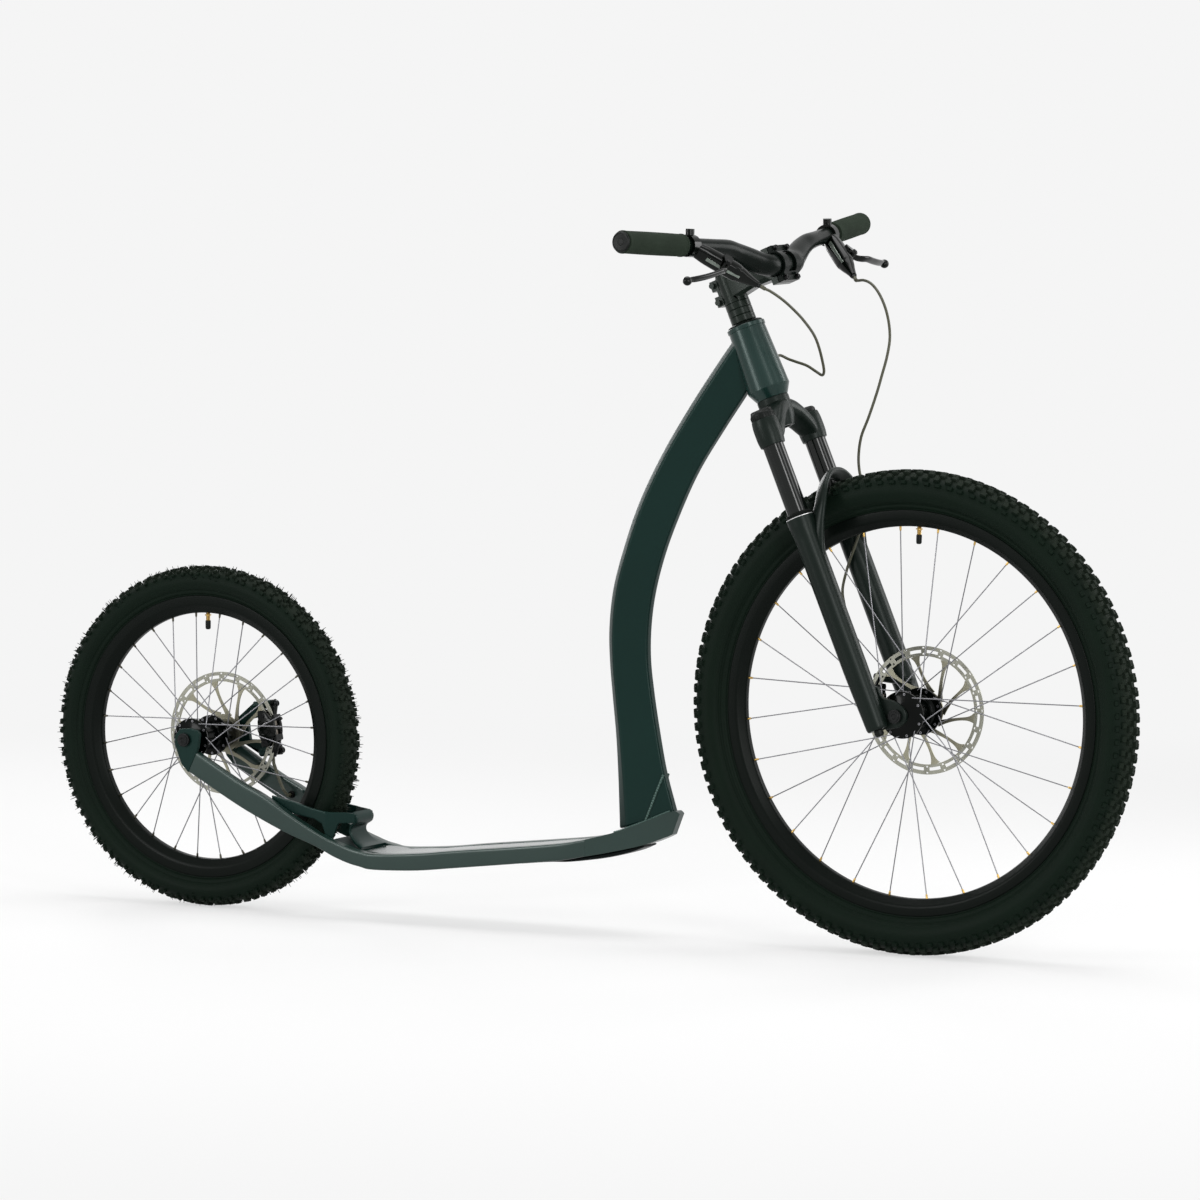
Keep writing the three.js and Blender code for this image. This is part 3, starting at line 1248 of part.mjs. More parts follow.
const rearLoopRoute = [
  masterEnd(-1, 0),
  masterEnd(-1, 0.08),
  point(119.3, -133, 120.3),
  point(118.8, -104, 106.3),
  point(114.6, -72, 90.5),
  point(107.5, -40, 75.7),
  point(91.6, 8, 52.4),
  point(75.4, 36, 24),
  point(66.4, 47, 10.8),
  point(59.8, 52, 8.6),
  point(53.1, 54, 15.4),
  point(42.1, 53, 29.8),
  point(30, 49.5, 40.5),
  point(21, 47, 48.5),
  ...intoHole(hosePort, portSide),
];
const frontUpperRoute = [
  masterEnd(1, 0),
  masterEnd(1, 0.08),
  point(131.3, 136, 119.8),
  point(143.9, 128, 110.3),
  point(154.3, 119, 92.9),
  point(161.2, 108, 67.3),
  point(162.2, 98, 41.5),
  point(157.9, 92, 21.3),
  point(147.1, 87, 0.3),
  point(132.1, 83, -20.8),
  point(117.9, 80, -39.8),
  point(92.7, 75.5, -69.8),
  point(73.3, 72.5, -91),
  point(59.8, 70.5, -115.5),
  point(54, 69, -135.3),
  hoseClip,
];
const frontLowerRoute = (end, before) => [
  point(54.5, 66.5, -158.2),
  point(52, 59, -178.1),
  point(42, 49, -202.7),
  point(24.3, 43.5, -227.2),
  point(8.1, 42.5, -244.5),
  point(-7.1, 42, -261.9),
  point(-22, 42, -283.3),
  point(-27.9, 42, -307.1),
  point(-35, 42.5, -337.1),
  point(-36, 43, -365.4),
  before,
  end,
];
// In the frame's own axes, from the rear caliper to the grommet inside the left rail
const frameHoseRoute = (end, before, hole, inward) => [
  end,
  before,
  hole.clone().add(point(-22, -3, 27)),
  hole.clone().add(point(-9, -12, 11)),
  ...intoHole(hole, inward),
];

/** A rubber grommet on a surface, with a hole for the hose. */
function grommet(place, direction) {
  const along = (distance) => place.clone().addScaledVector(direction, distance);
  const body = rod(along(gap), along(grommetLength / 2), grommetRadius, smallFacets, grommetRadius * 0.8);
  return cut(body, rod(along(-overrun), along(grommetLength), hoseRadius + gap, hoseSides));
}

function addSteering(root) {
  const group = new THREE.Group();
  group.position.copy(headFoot);
  group.rotation.y = headAngle - Math.PI / 2;
  root.add(group);
  piece(group, "headset_upper", upperBearing(), "black");
  piece(group, "fork_crown", crownAndSteerer(), "black");
  piece(group, "stem_spacers", spacers(), "black");
  piece(group, "stem", stem(), "black");
  piece(group, "stem_faceplate", facePlate(), "black");
  piece(group, "stem_top_cap", topCap(), "black");
  piece(group, "handlebar", handlebar(), "black");
  piece(group, "lockout_knob", legCap(-1, knobHeight), "black");
  piece(group, "air_cap", legCap(1, knobHeight * 0.7), "black");
  for (const [sign, side] of [[-1, "right"], [1, "left"]]) {
    piece(group, `stanchion_${side}`, stanchion(sign), "gloss");
    piece(group, `grip_${side}`, grip(sign), "grip");
    piece(group, `bar_plug_${side}`, plug(sign), "black");
    piece(group, `brake_master_${side}`, master(sign), "black");
    piece(group, `brake_lever_${side}`, blade(sign), "black");
    piece(group, `wiper_${side}`, wiper(sign), "rubber");
  }
  piece(group, "fork_lowers", lowers(), "black");
  piece(group, "rebound_knob", reboundKnob(), "black");
  piece(group, "front_axle", axle(frontWheel.hubWidth / 2 + gap + dropoutThickness)
    .translate(forkOffset, 0, axleDown), "black");
  const axleAt = point(forkOffset, 0, axleDown);
  const frame = addCaliper(group, frontWheel, axleAt, [legClearance(1)]);
  const [hoseEnd, hoseRun] = [gap, gap * hoseStep].map((past) => banjoPlace(frontWheel, banjoReach + past)
    .applyMatrix4(frame.matrix));
  piece(group, "rear_hose_loop", hose(rearLoopRoute), "rubber");
  piece(group, "front_hose_upper", hose(frontUpperRoute), "rubber");
  piece(group, "front_hose_lower", hose(frontLowerRoute(hoseEnd, hoseRun)), "rubber");
}

function addFrame(root) {
  const tube = curvedTube();
  const bore = turned([[0, -overrun], [headLowerRadius + gap, -overrun], [headLowerRadius + gap, headConeHeight],
    [headUpperRadius + gap, headTubeHeight - headLipHeight], [headUpperRadius + headLip + gap, headTubeHeight - headLipHeight],
    [headUpperRadius + headLip + gap, headTubeHeight + overrun], [0, headTubeHeight + overrun]], roundFacets)
    .rotateY(headAngle - Math.PI / 2).translate(headFoot.x, headFoot.y, headFoot.z);
  const gusset = cut(tube.intersect(solid(footWedge(0))), noseTool(-overrun));
  piece(root, "down_tube", cut(tube, footWedge(gap), noseTool(gap), bore), "paint");
  piece(root, "deck_nose", join(nose(), gusset), "paint");
  piece(root, "deck_plate", deckPlate(), "paint");
  piece(root, "deck_rail_right", rail(-1), "paint");
  piece(root, "deck_rail_left", rail(1), "paint");
  piece(root, "belly_plate", bellyPlate(), "paint");
  piece(root, "rear_yoke", yoke(), "paint");
  piece(root, "rear_dropout_right", dropout(-1), "paint");
  const tab = new THREE.Matrix4().makeRotationY(-rearWheel.caliperAngle).setPosition(rearAxle);
  piece(root, "rear_dropout_left", join(dropout(1), skin(rearTab()).applyMatrix4(tab)), "paint");
  piece(root, "rear_axle", skin(axle(rearWheel.hubWidth / 2 + gap + dropoutPlate))
    .translate(rearAxle.x, rearAxle.y, rearAxle.z), "black");
  const head = new THREE.Group();
  head.position.copy(headFoot);
  head.rotation.y = headAngle - Math.PI / 2;
  root.add(head);
  piece(head, "head_tube", headTube(), "paint");
  piece(head, "headset_lower", lowerBearing(), "steel");
  piece(head, "hose_port", grommet(hosePort, portSide), "rubber");
  const caliperFrame = addCaliper(root, rearWheel, rearAxle);
  const [hoseEnd, hoseRun] = [gap, gap * hoseStep].map((past) => banjoPlace(rearWheel, banjoReach + past)
    .applyMatrix4(caliperFrame.matrix));
  const [back, fore] = [grommetRow, grommetRow + 1].map((row) => {
    const { top, low, outer } = railOutline(railShares, row);
    return point((top[0] + low[0]) / 2, outer - railWidth(row), (top[1] + low[1]) / 2);
  });
  const hole = back.clone().lerp(fore, grommetShare);
  const inward = point(fore.y - back.y, back.x - fore.x, 0).normalize();
  piece(root, "hose_grommet", grommet(hole, inward), "rubber");
  piece(root, "rear_hose_frame", hose(frameHoseRoute(hoseEnd, hoseRun, hole, inward)), "rubber");
}

function buildKickBike() {
  const bike = new THREE.Group();
  const root = new THREE.Group();
  root.position.x = -(wheelbase + frontWheel.tyreRadius - rearWheel.tyreRadius) / 2;
  bike.add(root);
  addFrame(root);
  addSteering(root);
  addWheel(root, rearWheel, rearAxle);
  addWheel(root, frontWheel, frontAxle);
  return bike;
}

export default buildKickBike();
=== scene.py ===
"""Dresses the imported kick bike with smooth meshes, procedural finishes and soft studio light."""
import logging
import math
import random
from collections.abc import Callable, Sequence
from dataclasses import dataclass, field
from enum import Enum

import bmesh
import bpy
from mathutils import Matrix, Vector


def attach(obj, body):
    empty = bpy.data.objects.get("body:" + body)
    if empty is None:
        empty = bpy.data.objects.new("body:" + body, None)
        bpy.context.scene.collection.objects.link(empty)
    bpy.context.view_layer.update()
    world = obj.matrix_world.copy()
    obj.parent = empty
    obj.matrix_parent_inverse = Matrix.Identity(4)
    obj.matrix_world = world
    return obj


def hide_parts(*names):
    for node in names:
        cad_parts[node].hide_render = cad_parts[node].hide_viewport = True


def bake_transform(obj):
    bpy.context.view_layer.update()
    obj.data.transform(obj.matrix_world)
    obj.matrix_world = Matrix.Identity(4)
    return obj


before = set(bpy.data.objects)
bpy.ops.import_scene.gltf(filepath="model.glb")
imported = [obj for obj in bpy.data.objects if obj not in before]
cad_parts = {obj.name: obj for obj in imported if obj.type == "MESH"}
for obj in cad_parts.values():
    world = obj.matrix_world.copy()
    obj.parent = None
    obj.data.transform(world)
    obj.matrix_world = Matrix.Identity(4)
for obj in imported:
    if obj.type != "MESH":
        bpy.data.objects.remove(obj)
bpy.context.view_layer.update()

LOG = logging.getLogger("kick_bike")

# A millimetre in metres, a full turn, and the clearance between fitted solids in millimetres

MM = 0.001
TURN = 2 * math.pi
GAP = 0.3


class Body(str, Enum):
    """The moving groups of the bike."""

    FRAME = "frame"
    STEERING = "steering"
    LOWER_FORK = "lower_fork"
    FRONT_WHEEL = "front_wheel"
    REAR_WHEEL = "rear_wheel"
    RIGHT_LEVER = "right_lever"
    LEFT_LEVER = "left_lever"
    LOCKOUT = "lockout"
    REBOUND = "rebound"
    FRONT_PAD_OUT = "front_pad_out"
    FRONT_PAD_IN = "front_pad_in"
    REAR_PAD_OUT = "rear_pad_out"
    REAR_PAD_IN = "rear_pad_in"


class Side(int, Enum):
    """The rider's two sides, as the sign of Y."""

    RIGHT = -1
    LEFT = 1

    @property
    def word(self) -> str:
        """The side's name, as the nodes spell it."""
        return self.name.lower()


# Shader graphs


class Value:
    """A socket whose operators add the Math nodes of an expression."""

    def __init__(self, graph: "Graph", socket: bpy.types.NodeSocket) -> None:
        """Wraps an output socket of a graph."""
        self.graph = graph
        self.socket = socket

    def _math(self, operation: str, *terms: "Value | float") -> "Value":
        """Adds one Math node over the terms."""
        return self.graph.add("ShaderNodeMath", {"operation": operation}, dict(enumerate(terms)))

    def __add__(self, other: "Value | float") -> "Value":
        """Adds a term."""
        return self._math("ADD", self, other)

    __radd__ = __add__

    def __sub__(self, other: "Value | float") -> "Value":
        """Takes a term away."""
        return self._math("SUBTRACT", self, other)

    def __rsub__(self, other: float) -> "Value":
        """Takes this value from a number."""
        return self._math("SUBTRACT", other, self)

    def __mul__(self, other: "Value | float") -> "Value":
        """Multiplies by a term."""
        return self._math("MULTIPLY", self, other)

    __rmul__ = __mul__

    def __gt__(self, other: float) -> "Value":
        """Is 1 where this value is the larger."""
        return self._math("GREATER_THAN", self, other)

    def sine(self) -> "Value":
        """The sine of this value."""
        return self._math("SINE", self)

    def step(self, low: float, high: float) -> "Value":
        """Rises smoothly from 0 at a low value to 1 at a high one."""
        sockets = {"Value": self, "From Min": low, "From Max": high}
        return self.graph.add("ShaderNodeMapRange", {"interpolation_type": "SMOOTHSTEP"}, sockets)


@dataclass(frozen=True)
class Colour:
    """A colour as it is seen on a screen, each part from 0 to 255."""

    red: float
    green: float
    blue: float

    def linear(self) -> tuple[float, float, float, float]:
        """The colour as the renderer's linear numbers."""
        parts = [c / 255 for c in (self.red, self.green, self.blue)]
        return (*[p / 12.92 if p <= 0.04045 else ((p + 0.055) / 1.055) ** 2.4 for p in parts], 1.0)

    def lit(self, factor: float) -> "Colour":
        """The same colour, lighter or darker."""
        return Colour(*[min(255.0, c * factor) for c in (self.red, self.green, self.blue)])


class Graph:
    """The node tree of a material or of the world."""

    def __init__(self, owner: "bpy.types.Material | bpy.types.World") -> None:
        """Empties the tree of a new material or world."""
        self.owner = owner
        owner.use_nodes = True
        self.tree = owner.node_tree
        self.tree.nodes.clear()

    def add(
        self,
        kind: str,
        settings: dict[str, object] | None = None,
        sockets: dict[str | int, object] | None = None,
        output: str | int = 0,
    ) -> Value | None:
        """Adds a node.

        Args:
            kind: The node's type.
            settings: Its properties, set first.
            sockets: Values or links for its inputs, by name or number.
            output: The output that is wanted.

        Returns:
            The wanted output, or None for a node that closes the tree.
        """
        node = self.tree.nodes.new(kind)
        for key, setting in (settings or {}).items():
            setattr(node, key, setting)
        for key, given in (sockets or {}).items():
            if isinstance(given, Value):
                self.tree.links.new(given.socket, node.inputs[key])
            else:
                node.inputs[key].default_value = given
        if len(node.outputs) == 0:
            return None
        return Value(self, node.outputs[output])

    def vector(self, operation: str, *terms: object, output: str | int = 0) -> Value:
        """Adds one Vector Math node over the terms."""
        return self.add("ShaderNodeVectorMath", {"operation": operation}, dict(enumerate(terms)), output)

    def place(self, centre: tuple[float, float, float] = (0, 0, 0)) -> Value:
        """The point on the object, in metres from a centre."""
        return self.vector("SUBTRACT", self.add("ShaderNodeTexCoord", output="Object"), centre)

    def radius(self, centre: tuple[float, float, float]) -> Value:
        """The distance from the cross axle through a centre, in millimetres."""
        flat = self.vector("MULTIPLY", self.place(centre), (1000, 0, 1000))
        return self.vector("LENGTH", flat, output="Value")

    def noise(self, scale: float, detail: float = 3, stretch: tuple[float, float, float] = (1, 1, 1)) -> Value:
        """Soft noise from 0 to 1, with a number of cells for each metre and a stretch along each axis."""
        at = self.vector("MULTIPLY", self.place(), stretch)
        return self.add("ShaderNodeTexNoise", {}, {"Vector": at, "Scale": scale, "Detail": detail}, "Fac")

    def cells(self, scale: float) -> Value:
        """Distance to the nearest of many scattered points, for grain."""
        return self.add("ShaderNodeTexVoronoi", {}, {"Vector": self.place(), "Scale": scale}, "Distance")

    def mix(self, share: Value, low: "Value | Colour", high: "Value | Colour") -> Value:
        """Goes from one colour to another with a share."""
        ends = [end.linear() if isinstance(end, Colour) else end for end in (low, high)]
        return self.add("ShaderNodeMix", {"data_type": "RGBA"}, {0: share, 6: ends[0], 7: ends[1]}, 2)

    def bump(self, height: Value, strength: float, depth: float) -> Value:
        """A normal from heights; depth is in millimetres."""
        sockets = {"Height": height, "Strength": strength, "Distance": depth * MM}
        return self.add("ShaderNodeBump", {}, sockets, "Normal")

    def surface(self, sockets: dict[str, object]) -> bpy.types.Material:
        """Closes the material with one principled surface."""
        shader = self.add("ShaderNodeBsdfPrincipled", {}, sockets, "BSDF")
        self.add("ShaderNodeOutputMaterial", {}, {"Surface": shader})
        return self.owner


# Finishes


@dataclass(frozen=True)
class Finish:
    """A surface finish and the record's slot it belongs to."""

    name: str
    slot: str
    colour: Colour
    roughness: float = 0.5
    metallic: float = 0.0
    specular: float = 0.3

    def sockets(self, graph: Graph) -> dict[str, object]:
        """The principled surface's inputs that change over it or differ from finish to finish.

        Args:
            graph: The material's graph.

        Returns:
            Inputs by name.
        """
        cloud = graph.noise(35, 4)
        grain = graph.noise(2600, 2)
        return {
            "Base Color": graph.mix(cloud, self.colour.lit(0.86), self.colour.lit(1.14)),
            "Roughness": self.roughness - 0.05 + 0.1 * cloud + 0.06 * grain,
            "Normal": graph.bump(grain, 0.08, 0.03),
        }

    def material(self) -> bpy.types.Material:
        """The finish's material, made once."""
        ready = bpy.data.materials.get(self.name)
        if ready:
            return ready
        graph = Graph(bpy.data.materials.new(self.name))
        shared = {"Metallic": self.metallic, "Specular IOR Level": self.specular}
        return graph.surface(self.sockets(graph) | shared)


@dataclass(frozen=True)
class SatinPaint(Finish):
    """Powder coat with a faint flake and orange peel."""

    peel: float = 420
    sheen: float = 0.25

    def sockets(self, graph: Graph) -> dict[str, object]:
        """The coat's inputs, with flake in the colour and peel in the normal."""
        cloud = graph.noise(9, 3)
        flake = graph.cells(3200).step(0.02, 0.32)
        peel = graph.noise(self.peel, 2)
        base = graph.mix(cloud, self.colour.lit(0.93), self.colour.lit(1.08))
        return {
            "Base Color": graph.mix(1 - flake, base, self.colour.lit(1.1)),
            "Roughness": self.roughness + 0.07 * (cloud - 0.5) + 0.05 * (peel - 0.5),
            "Coat Weight": self.sheen,
            "Coat Roughness": 0.28,
            "Normal": graph.bump(peel, 0.08, 0.05),
        }


@dataclass(frozen=True)
class SlidingTube(Finish):
    """Hard, polished coating with faint rubbing marks along it."""

    def sockets(self, graph: Graph) -> dict[str, object]:
        """The coating's inputs, with long thin scratches."""
        marks = graph.noise(900, 3, (1.0, 1.0, 0.05))
        smear = graph.noise(60, 2)
        return {
            "Base Color": graph.mix(smear, self.colour.lit(0.8), self.colour.lit(1.3)),
            "Roughness": self.roughness + 0.02 * marks + 0.04 * smear,
            "Coat Weight": 0.05,
            "Coat Roughness": 0.06,
            "Normal": graph.bump(marks, 0.008, 0.01),
        }


@dataclass(frozen=True)
class TyreRubber(Finish):
    """Tyre rubber: smooth side, moulded rings by the bead and duller tread."""

    centre: tuple[float, float, float] = (0, 0, 0)
    bead: float = 284
    crown: float = 335

    def sockets(self, graph: Graph) -> dict[str, object]:
        """The rubber's inputs, split by the distance from the axle."""
        radius = graph.radius(self.centre)
        cloud = graph.noise(24, 5)
        grit = graph.noise(700, 4)
        tread = radius.step(self.crown - 9, self.crown - 1)
        near_bead = 1 - radius.step(self.bead + 12, self.bead + 15)
        rings = (radius * (TURN / 2.2)).sine() * near_bead
        side = graph.mix(cloud, self.colour.lit(0.84), self.colour.lit(1.12))
        dusty = Colour(self.colour.red * 2.7, self.colour.green * 1.6, self.colour.blue * 1.9)
        return {
            "Base Color": graph.mix(tread * (0.35 + 0.65 * cloud), side, dusty),
            "Roughness": self.roughness + 0.1 * tread + 0.1 * (cloud - 0.5),
            "Normal": graph.bump(0.6 * grit + 0.8 * rings, 0.4, 0.25),
        }


@dataclass(frozen=True)
class GripFoam(Finish):
    """Fine-celled grip rubber, handled smooth in places."""

    def sockets(self, graph: Graph) -> dict[str, object]:
        """The rubber's inputs, with small cells and worn patches."""
        worn = graph.noise(28, 3)
        pores = graph.cells(900)
        return {
            "Base Color": graph.mix(worn, self.colour.lit(0.88), self.colour.lit(1.16)),
            "Roughness": self.roughness - 0.12 * worn + 0.05 * pores,
            "Normal": graph.bump(pores, 0.5, 0.3),
        }


@dataclass(frozen=True)
class BrakeSteel(Finish):
    """Ground stainless steel, ringed by the pads on its track and straw-tinted inside it."""

    centre: tuple[float, float, float] = (0, 0, 0)
    track: float = 76

    def sockets(self, graph: Graph) -> dict[str, object]:
        """The steel's inputs, with rings that follow the disc."""
        radius = graph.radius(self.centre)
        fine = graph.add("ShaderNodeCombineXYZ", {}, {"X": radius})
        rings = graph.add("ShaderNodeTexNoise", {}, {"Vector": fine, "Scale": 2.4, "Detail": 4.0}, "Fac")
        on_track = radius.step(self.track - 1, self.track + 2)
        smear = graph.noise(60, 3)
        straw = Colour(self.colour.red * 0.98, self.colour.green * 0.96, self.colour.blue * 0.9)
        base = graph.mix(on_track, straw, self.colour)
        return {
            "Base Color": graph.mix(smear * 0.5, base, self.colour.lit(0.72)),
            "Roughness": self.roughness + 0.12 * rings * on_track + 0.08 * smear,
            "Normal": graph.bump(rings * on_track, 0.2, 0.05),
        }


@dataclass(frozen=True)
class TurnedMetal(Finish):
    """Drawn or turned metal with a bright grain."""

    def sockets(self, graph: Graph) -> dict[str, object]:
        """The metal's inputs, with mottled tarnish."""
        tarnish = graph.noise(220, 4)
        grain = graph.noise(3000, 2)
        return {
            "Base Color": graph.mix(tarnish, self.colour.lit(0.75), self.colour.lit(1.2)),
            "Roughness": self.roughness + 0.15 * tarnish,
            "Normal": graph.bump(grain, 0.15, 0.03),
        }


PAINT = SatinPaint("paint_petrol", "frame_paint", Colour(13, 37, 33), 0.34, 0.22, 0.13, sheen=0.03)
# A lighter copy of the frame paint for the head tube: painted light standing in for its highlight.
LIT_HEAD_PAINT = SatinPaint("paint_head_lit", "frame_paint", Colour(18, 42, 38), 0.25, 0.25, 0.34, sheen=0.05)
DECK = SatinPaint("paint_deck", "deck_paint", Colour(18, 40, 36), 0.17, 0.25, 0.5, peel=650, sheen=0.3)
# A lighter copy of the frame paint for the rails and the nose: painted light for the light their sides catch.
LIT_RAIL_PAINT = SatinPaint("paint_rail_lit", "frame_paint", Colour(22, 44, 39), 0.3, 0.2, 0.48, sheen=0.06)
# The frame paint made much lighter for the weld beads: a painted highlight along the seams.
WELD_HIGHLIGHT = SatinPaint("paint_weld_highlight", "frame_paint", Colour(58, 80, 74), 0.3, 0.3, 0.3, sheen=0.04)
# The frame paint made much darker for the plate under the deck: painted shade.
BELLY_SHADE = SatinPaint("paint_belly_shade", "frame_paint", Colour(6, 12, 11), 0.4, 0.2, 0.08, sheen=0.02)
ALLOY = Finish("alloy_black", "black_alloy", Colour(9, 15, 12), 0.26, 0.15, 0.06)
STEM_BLACK = Finish("alloy_stem", "black_alloy", Colour(20, 28, 23), 0.24, 0.25, 0.22)
SATIN_LEG = SatinPaint("alloy_leg", "black_alloy", Colour(13, 22, 18), 0.36, 0.2, 0.16, sheen=0.01)
RIM_BLACK = Finish("alloy_rim", "black_alloy", Colour(6, 11, 8), 0.34, 0.1, 0.08)
GLOSS = SlidingTube("slider_black", "gloss_black", Colour(5, 9, 7), 0.11, 0.1, 0.3)
LACQUER = SlidingTube("lever_lacquer", "gloss_black", Colour(4, 7, 5), 0.12, 0.05, 0.14)
# A pale grey in the gloss black slot, for strips along the master cylinders' covers: painted highlight lines.
HIGHLIGHT_STRIP = SlidingTube("lever_highlight_strip", "gloss_black", Colour(96, 104, 97), 0.2, 0.4, 0.5)
HUB_BLACK = SlidingTube("hub_lacquer", "black_alloy", Colour(2, 4, 3), 0.16, 0.1, 0.08)
KNOB = Finish("plastic_black", "knob_plastic", Colour(9, 13, 11), 0.38, 0.0, 0.14)
GRIP = GripFoam("grip_charcoal", "grip_rubber", Colour(33, 41, 33), 0.8, 0.0, 0.06)
SOFT = Finish("rubber_soft", "soft_rubber", Colour(8, 11, 9), 0.6, 0.0, 0.08)
SLEEVE = Finish("hose_jacket", "hose_sleeve", Colour(66, 66, 52), 0.4, 0.0, 0.3)
SPOKE = TurnedMetal("spoke_steel", "spoke_steel", Colour(74, 72, 62), 0.3, 0.85)
BRASS = TurnedMetal("nipple_brass", "valve_brass", Colour(188, 156, 92), 0.28, 1.0)
DARK_NIPPLE = TurnedMetal("nipple_dark", "spoke_steel", Colour(74, 72, 62), 0.35, 0.8)
STEEL = TurnedMetal("bearing_steel", "bearing_steel", Colour(150, 150, 146), 0.3, 1.0)
BOLT = TurnedMetal("bolt_black", "bearing_steel", Colour(30, 31, 31), 0.3, 0.8)
LINING = Finish("pad_lining", "pad_lining", Colour(92, 76, 60), 0.85, 0.1)


# Meshes


class Curve:
    """A smooth centripetal curve through its points."""

    def __init__(self, points: Sequence[Sequence[float]]) -> None:
        """Keeps the points and measures the curve."""
        self.points = [Vector(p) for p in points]
        count = 24 * (len(self.points) - 1)
        self.shares = [k / count for k in range(count + 1)]
        samples = [self.at(share) for share in self.shares]
        self.lengths = [0.0]
        for before, after in zip(samples, samples[1:]):
            self.lengths.append(self.lengths[-1] + (after - before).length)

    def at(self, share: float) -> Vector:
        """The point at a share of the spans.

        Args:
            share: From 0 at the first point to 1 at the last.

        Returns:
            The point.
        """
        p = self.points
        spot = share * (len(p) - 1)
        i = min(int(spot), len(p) - 2)
        t = spot - i
        p0 = p[i - 1] if i > 0 else p[0] * 2 - p[1]
        p1, p2 = p[i], p[i + 1]
        p3 = p[i + 2] if i + 2 < len(p) else p[-1] * 2 - p[-2]
        a, b, c = (max((v - u).length ** 0.5, 1e-4) for u, v in ((p0, p1), (p1, p2), (p2, p3)))
        t1 = ((p1 - p0) / a - (p2 - p0) / (a + b) + (p2 - p1) / b) * b
        t2 = ((p2 - p1) / b - (p3 - p1) / (b + c) + (p3 - p2) / c) * b
        return p1 + t1 * t + (p2 * 3 - p1 * 3 - t1 * 2 - t2) * t**2 + (p1 * 2 - p2 * 2 + t1 + t2) * t**3

    def share_of(self, part: float) -> float:
        """The span share that lies at a part of the whole length."""
        target = part * self.lengths[-1]
        low, high = 0, len(self.lengths) - 1
        while high - low > 1:
            middle = (low + high) // 2
            low, high = (middle, high) if self.lengths[middle] <= target else (low, middle)
        run = self.lengths[high] - self.lengths[low]
        inside = (target - self.lengths[low]) / run if run > 0 else 0
        return self.shares[low] + (self.shares[high] - self.shares[low]) * inside

    def along(self, part: float) -> Vector:
        """The point at a part of the whole length."""
        return self.at(self.share_of(part))

    def even(self, steps: int) -> list[Vector]:
        """Points at even distances along the curve."""
        return [self.along(k / steps) for k in range(steps + 1)]

    def uniform(self, steps: int) -> list[Vector]:
        """Points at even shares of the spans."""
        return [self.at(k / steps) for k in range(steps + 1)]


def axes(x: Vector, y: Vector, z: Vector, origin: Vector) -> Matrix:
    """A placing matrix from three axes and an origin."""
    matrix = Matrix((x, y, z)).transposed().to_4x4()
    matrix.translation = origin
    return matrix


def facing(origin: Vector, z: Vector) -> Matrix:
    """A placing matrix whose Z axis points a given way."""
    return axes(*z.to_track_quat("Z", "Y").to_matrix().transposed(), origin)


def clamped(share: float) -> float:
    """Keeps a share between 0 and 1."""
    return min(1.0, max(0.0, share))


def eased(share: float) -> float:
    """A share that starts and ends gently."""
    return share * share * (3 - 2 * share)


def superellipse(half_x: float, half_y: float, power: float, count: int) -> list[tuple[float, float]]:
    """A rounded box outline.

    Args:
        half_x: Half its width.
        half_y: Half its height.
        power: 2 is an ellipse; more is squarer.
        count: Corners.

    Returns:
        The outline's points.
    """
    points = []
    for k in range(count):
        c, s = math.cos(TURN * k / count), math.sin(TURN * k / count)
        x, y = (math.copysign(abs(part) ** (2 / power), part) for part in (c, s))
        points.append((half_x * x, half_y * y))
    return points


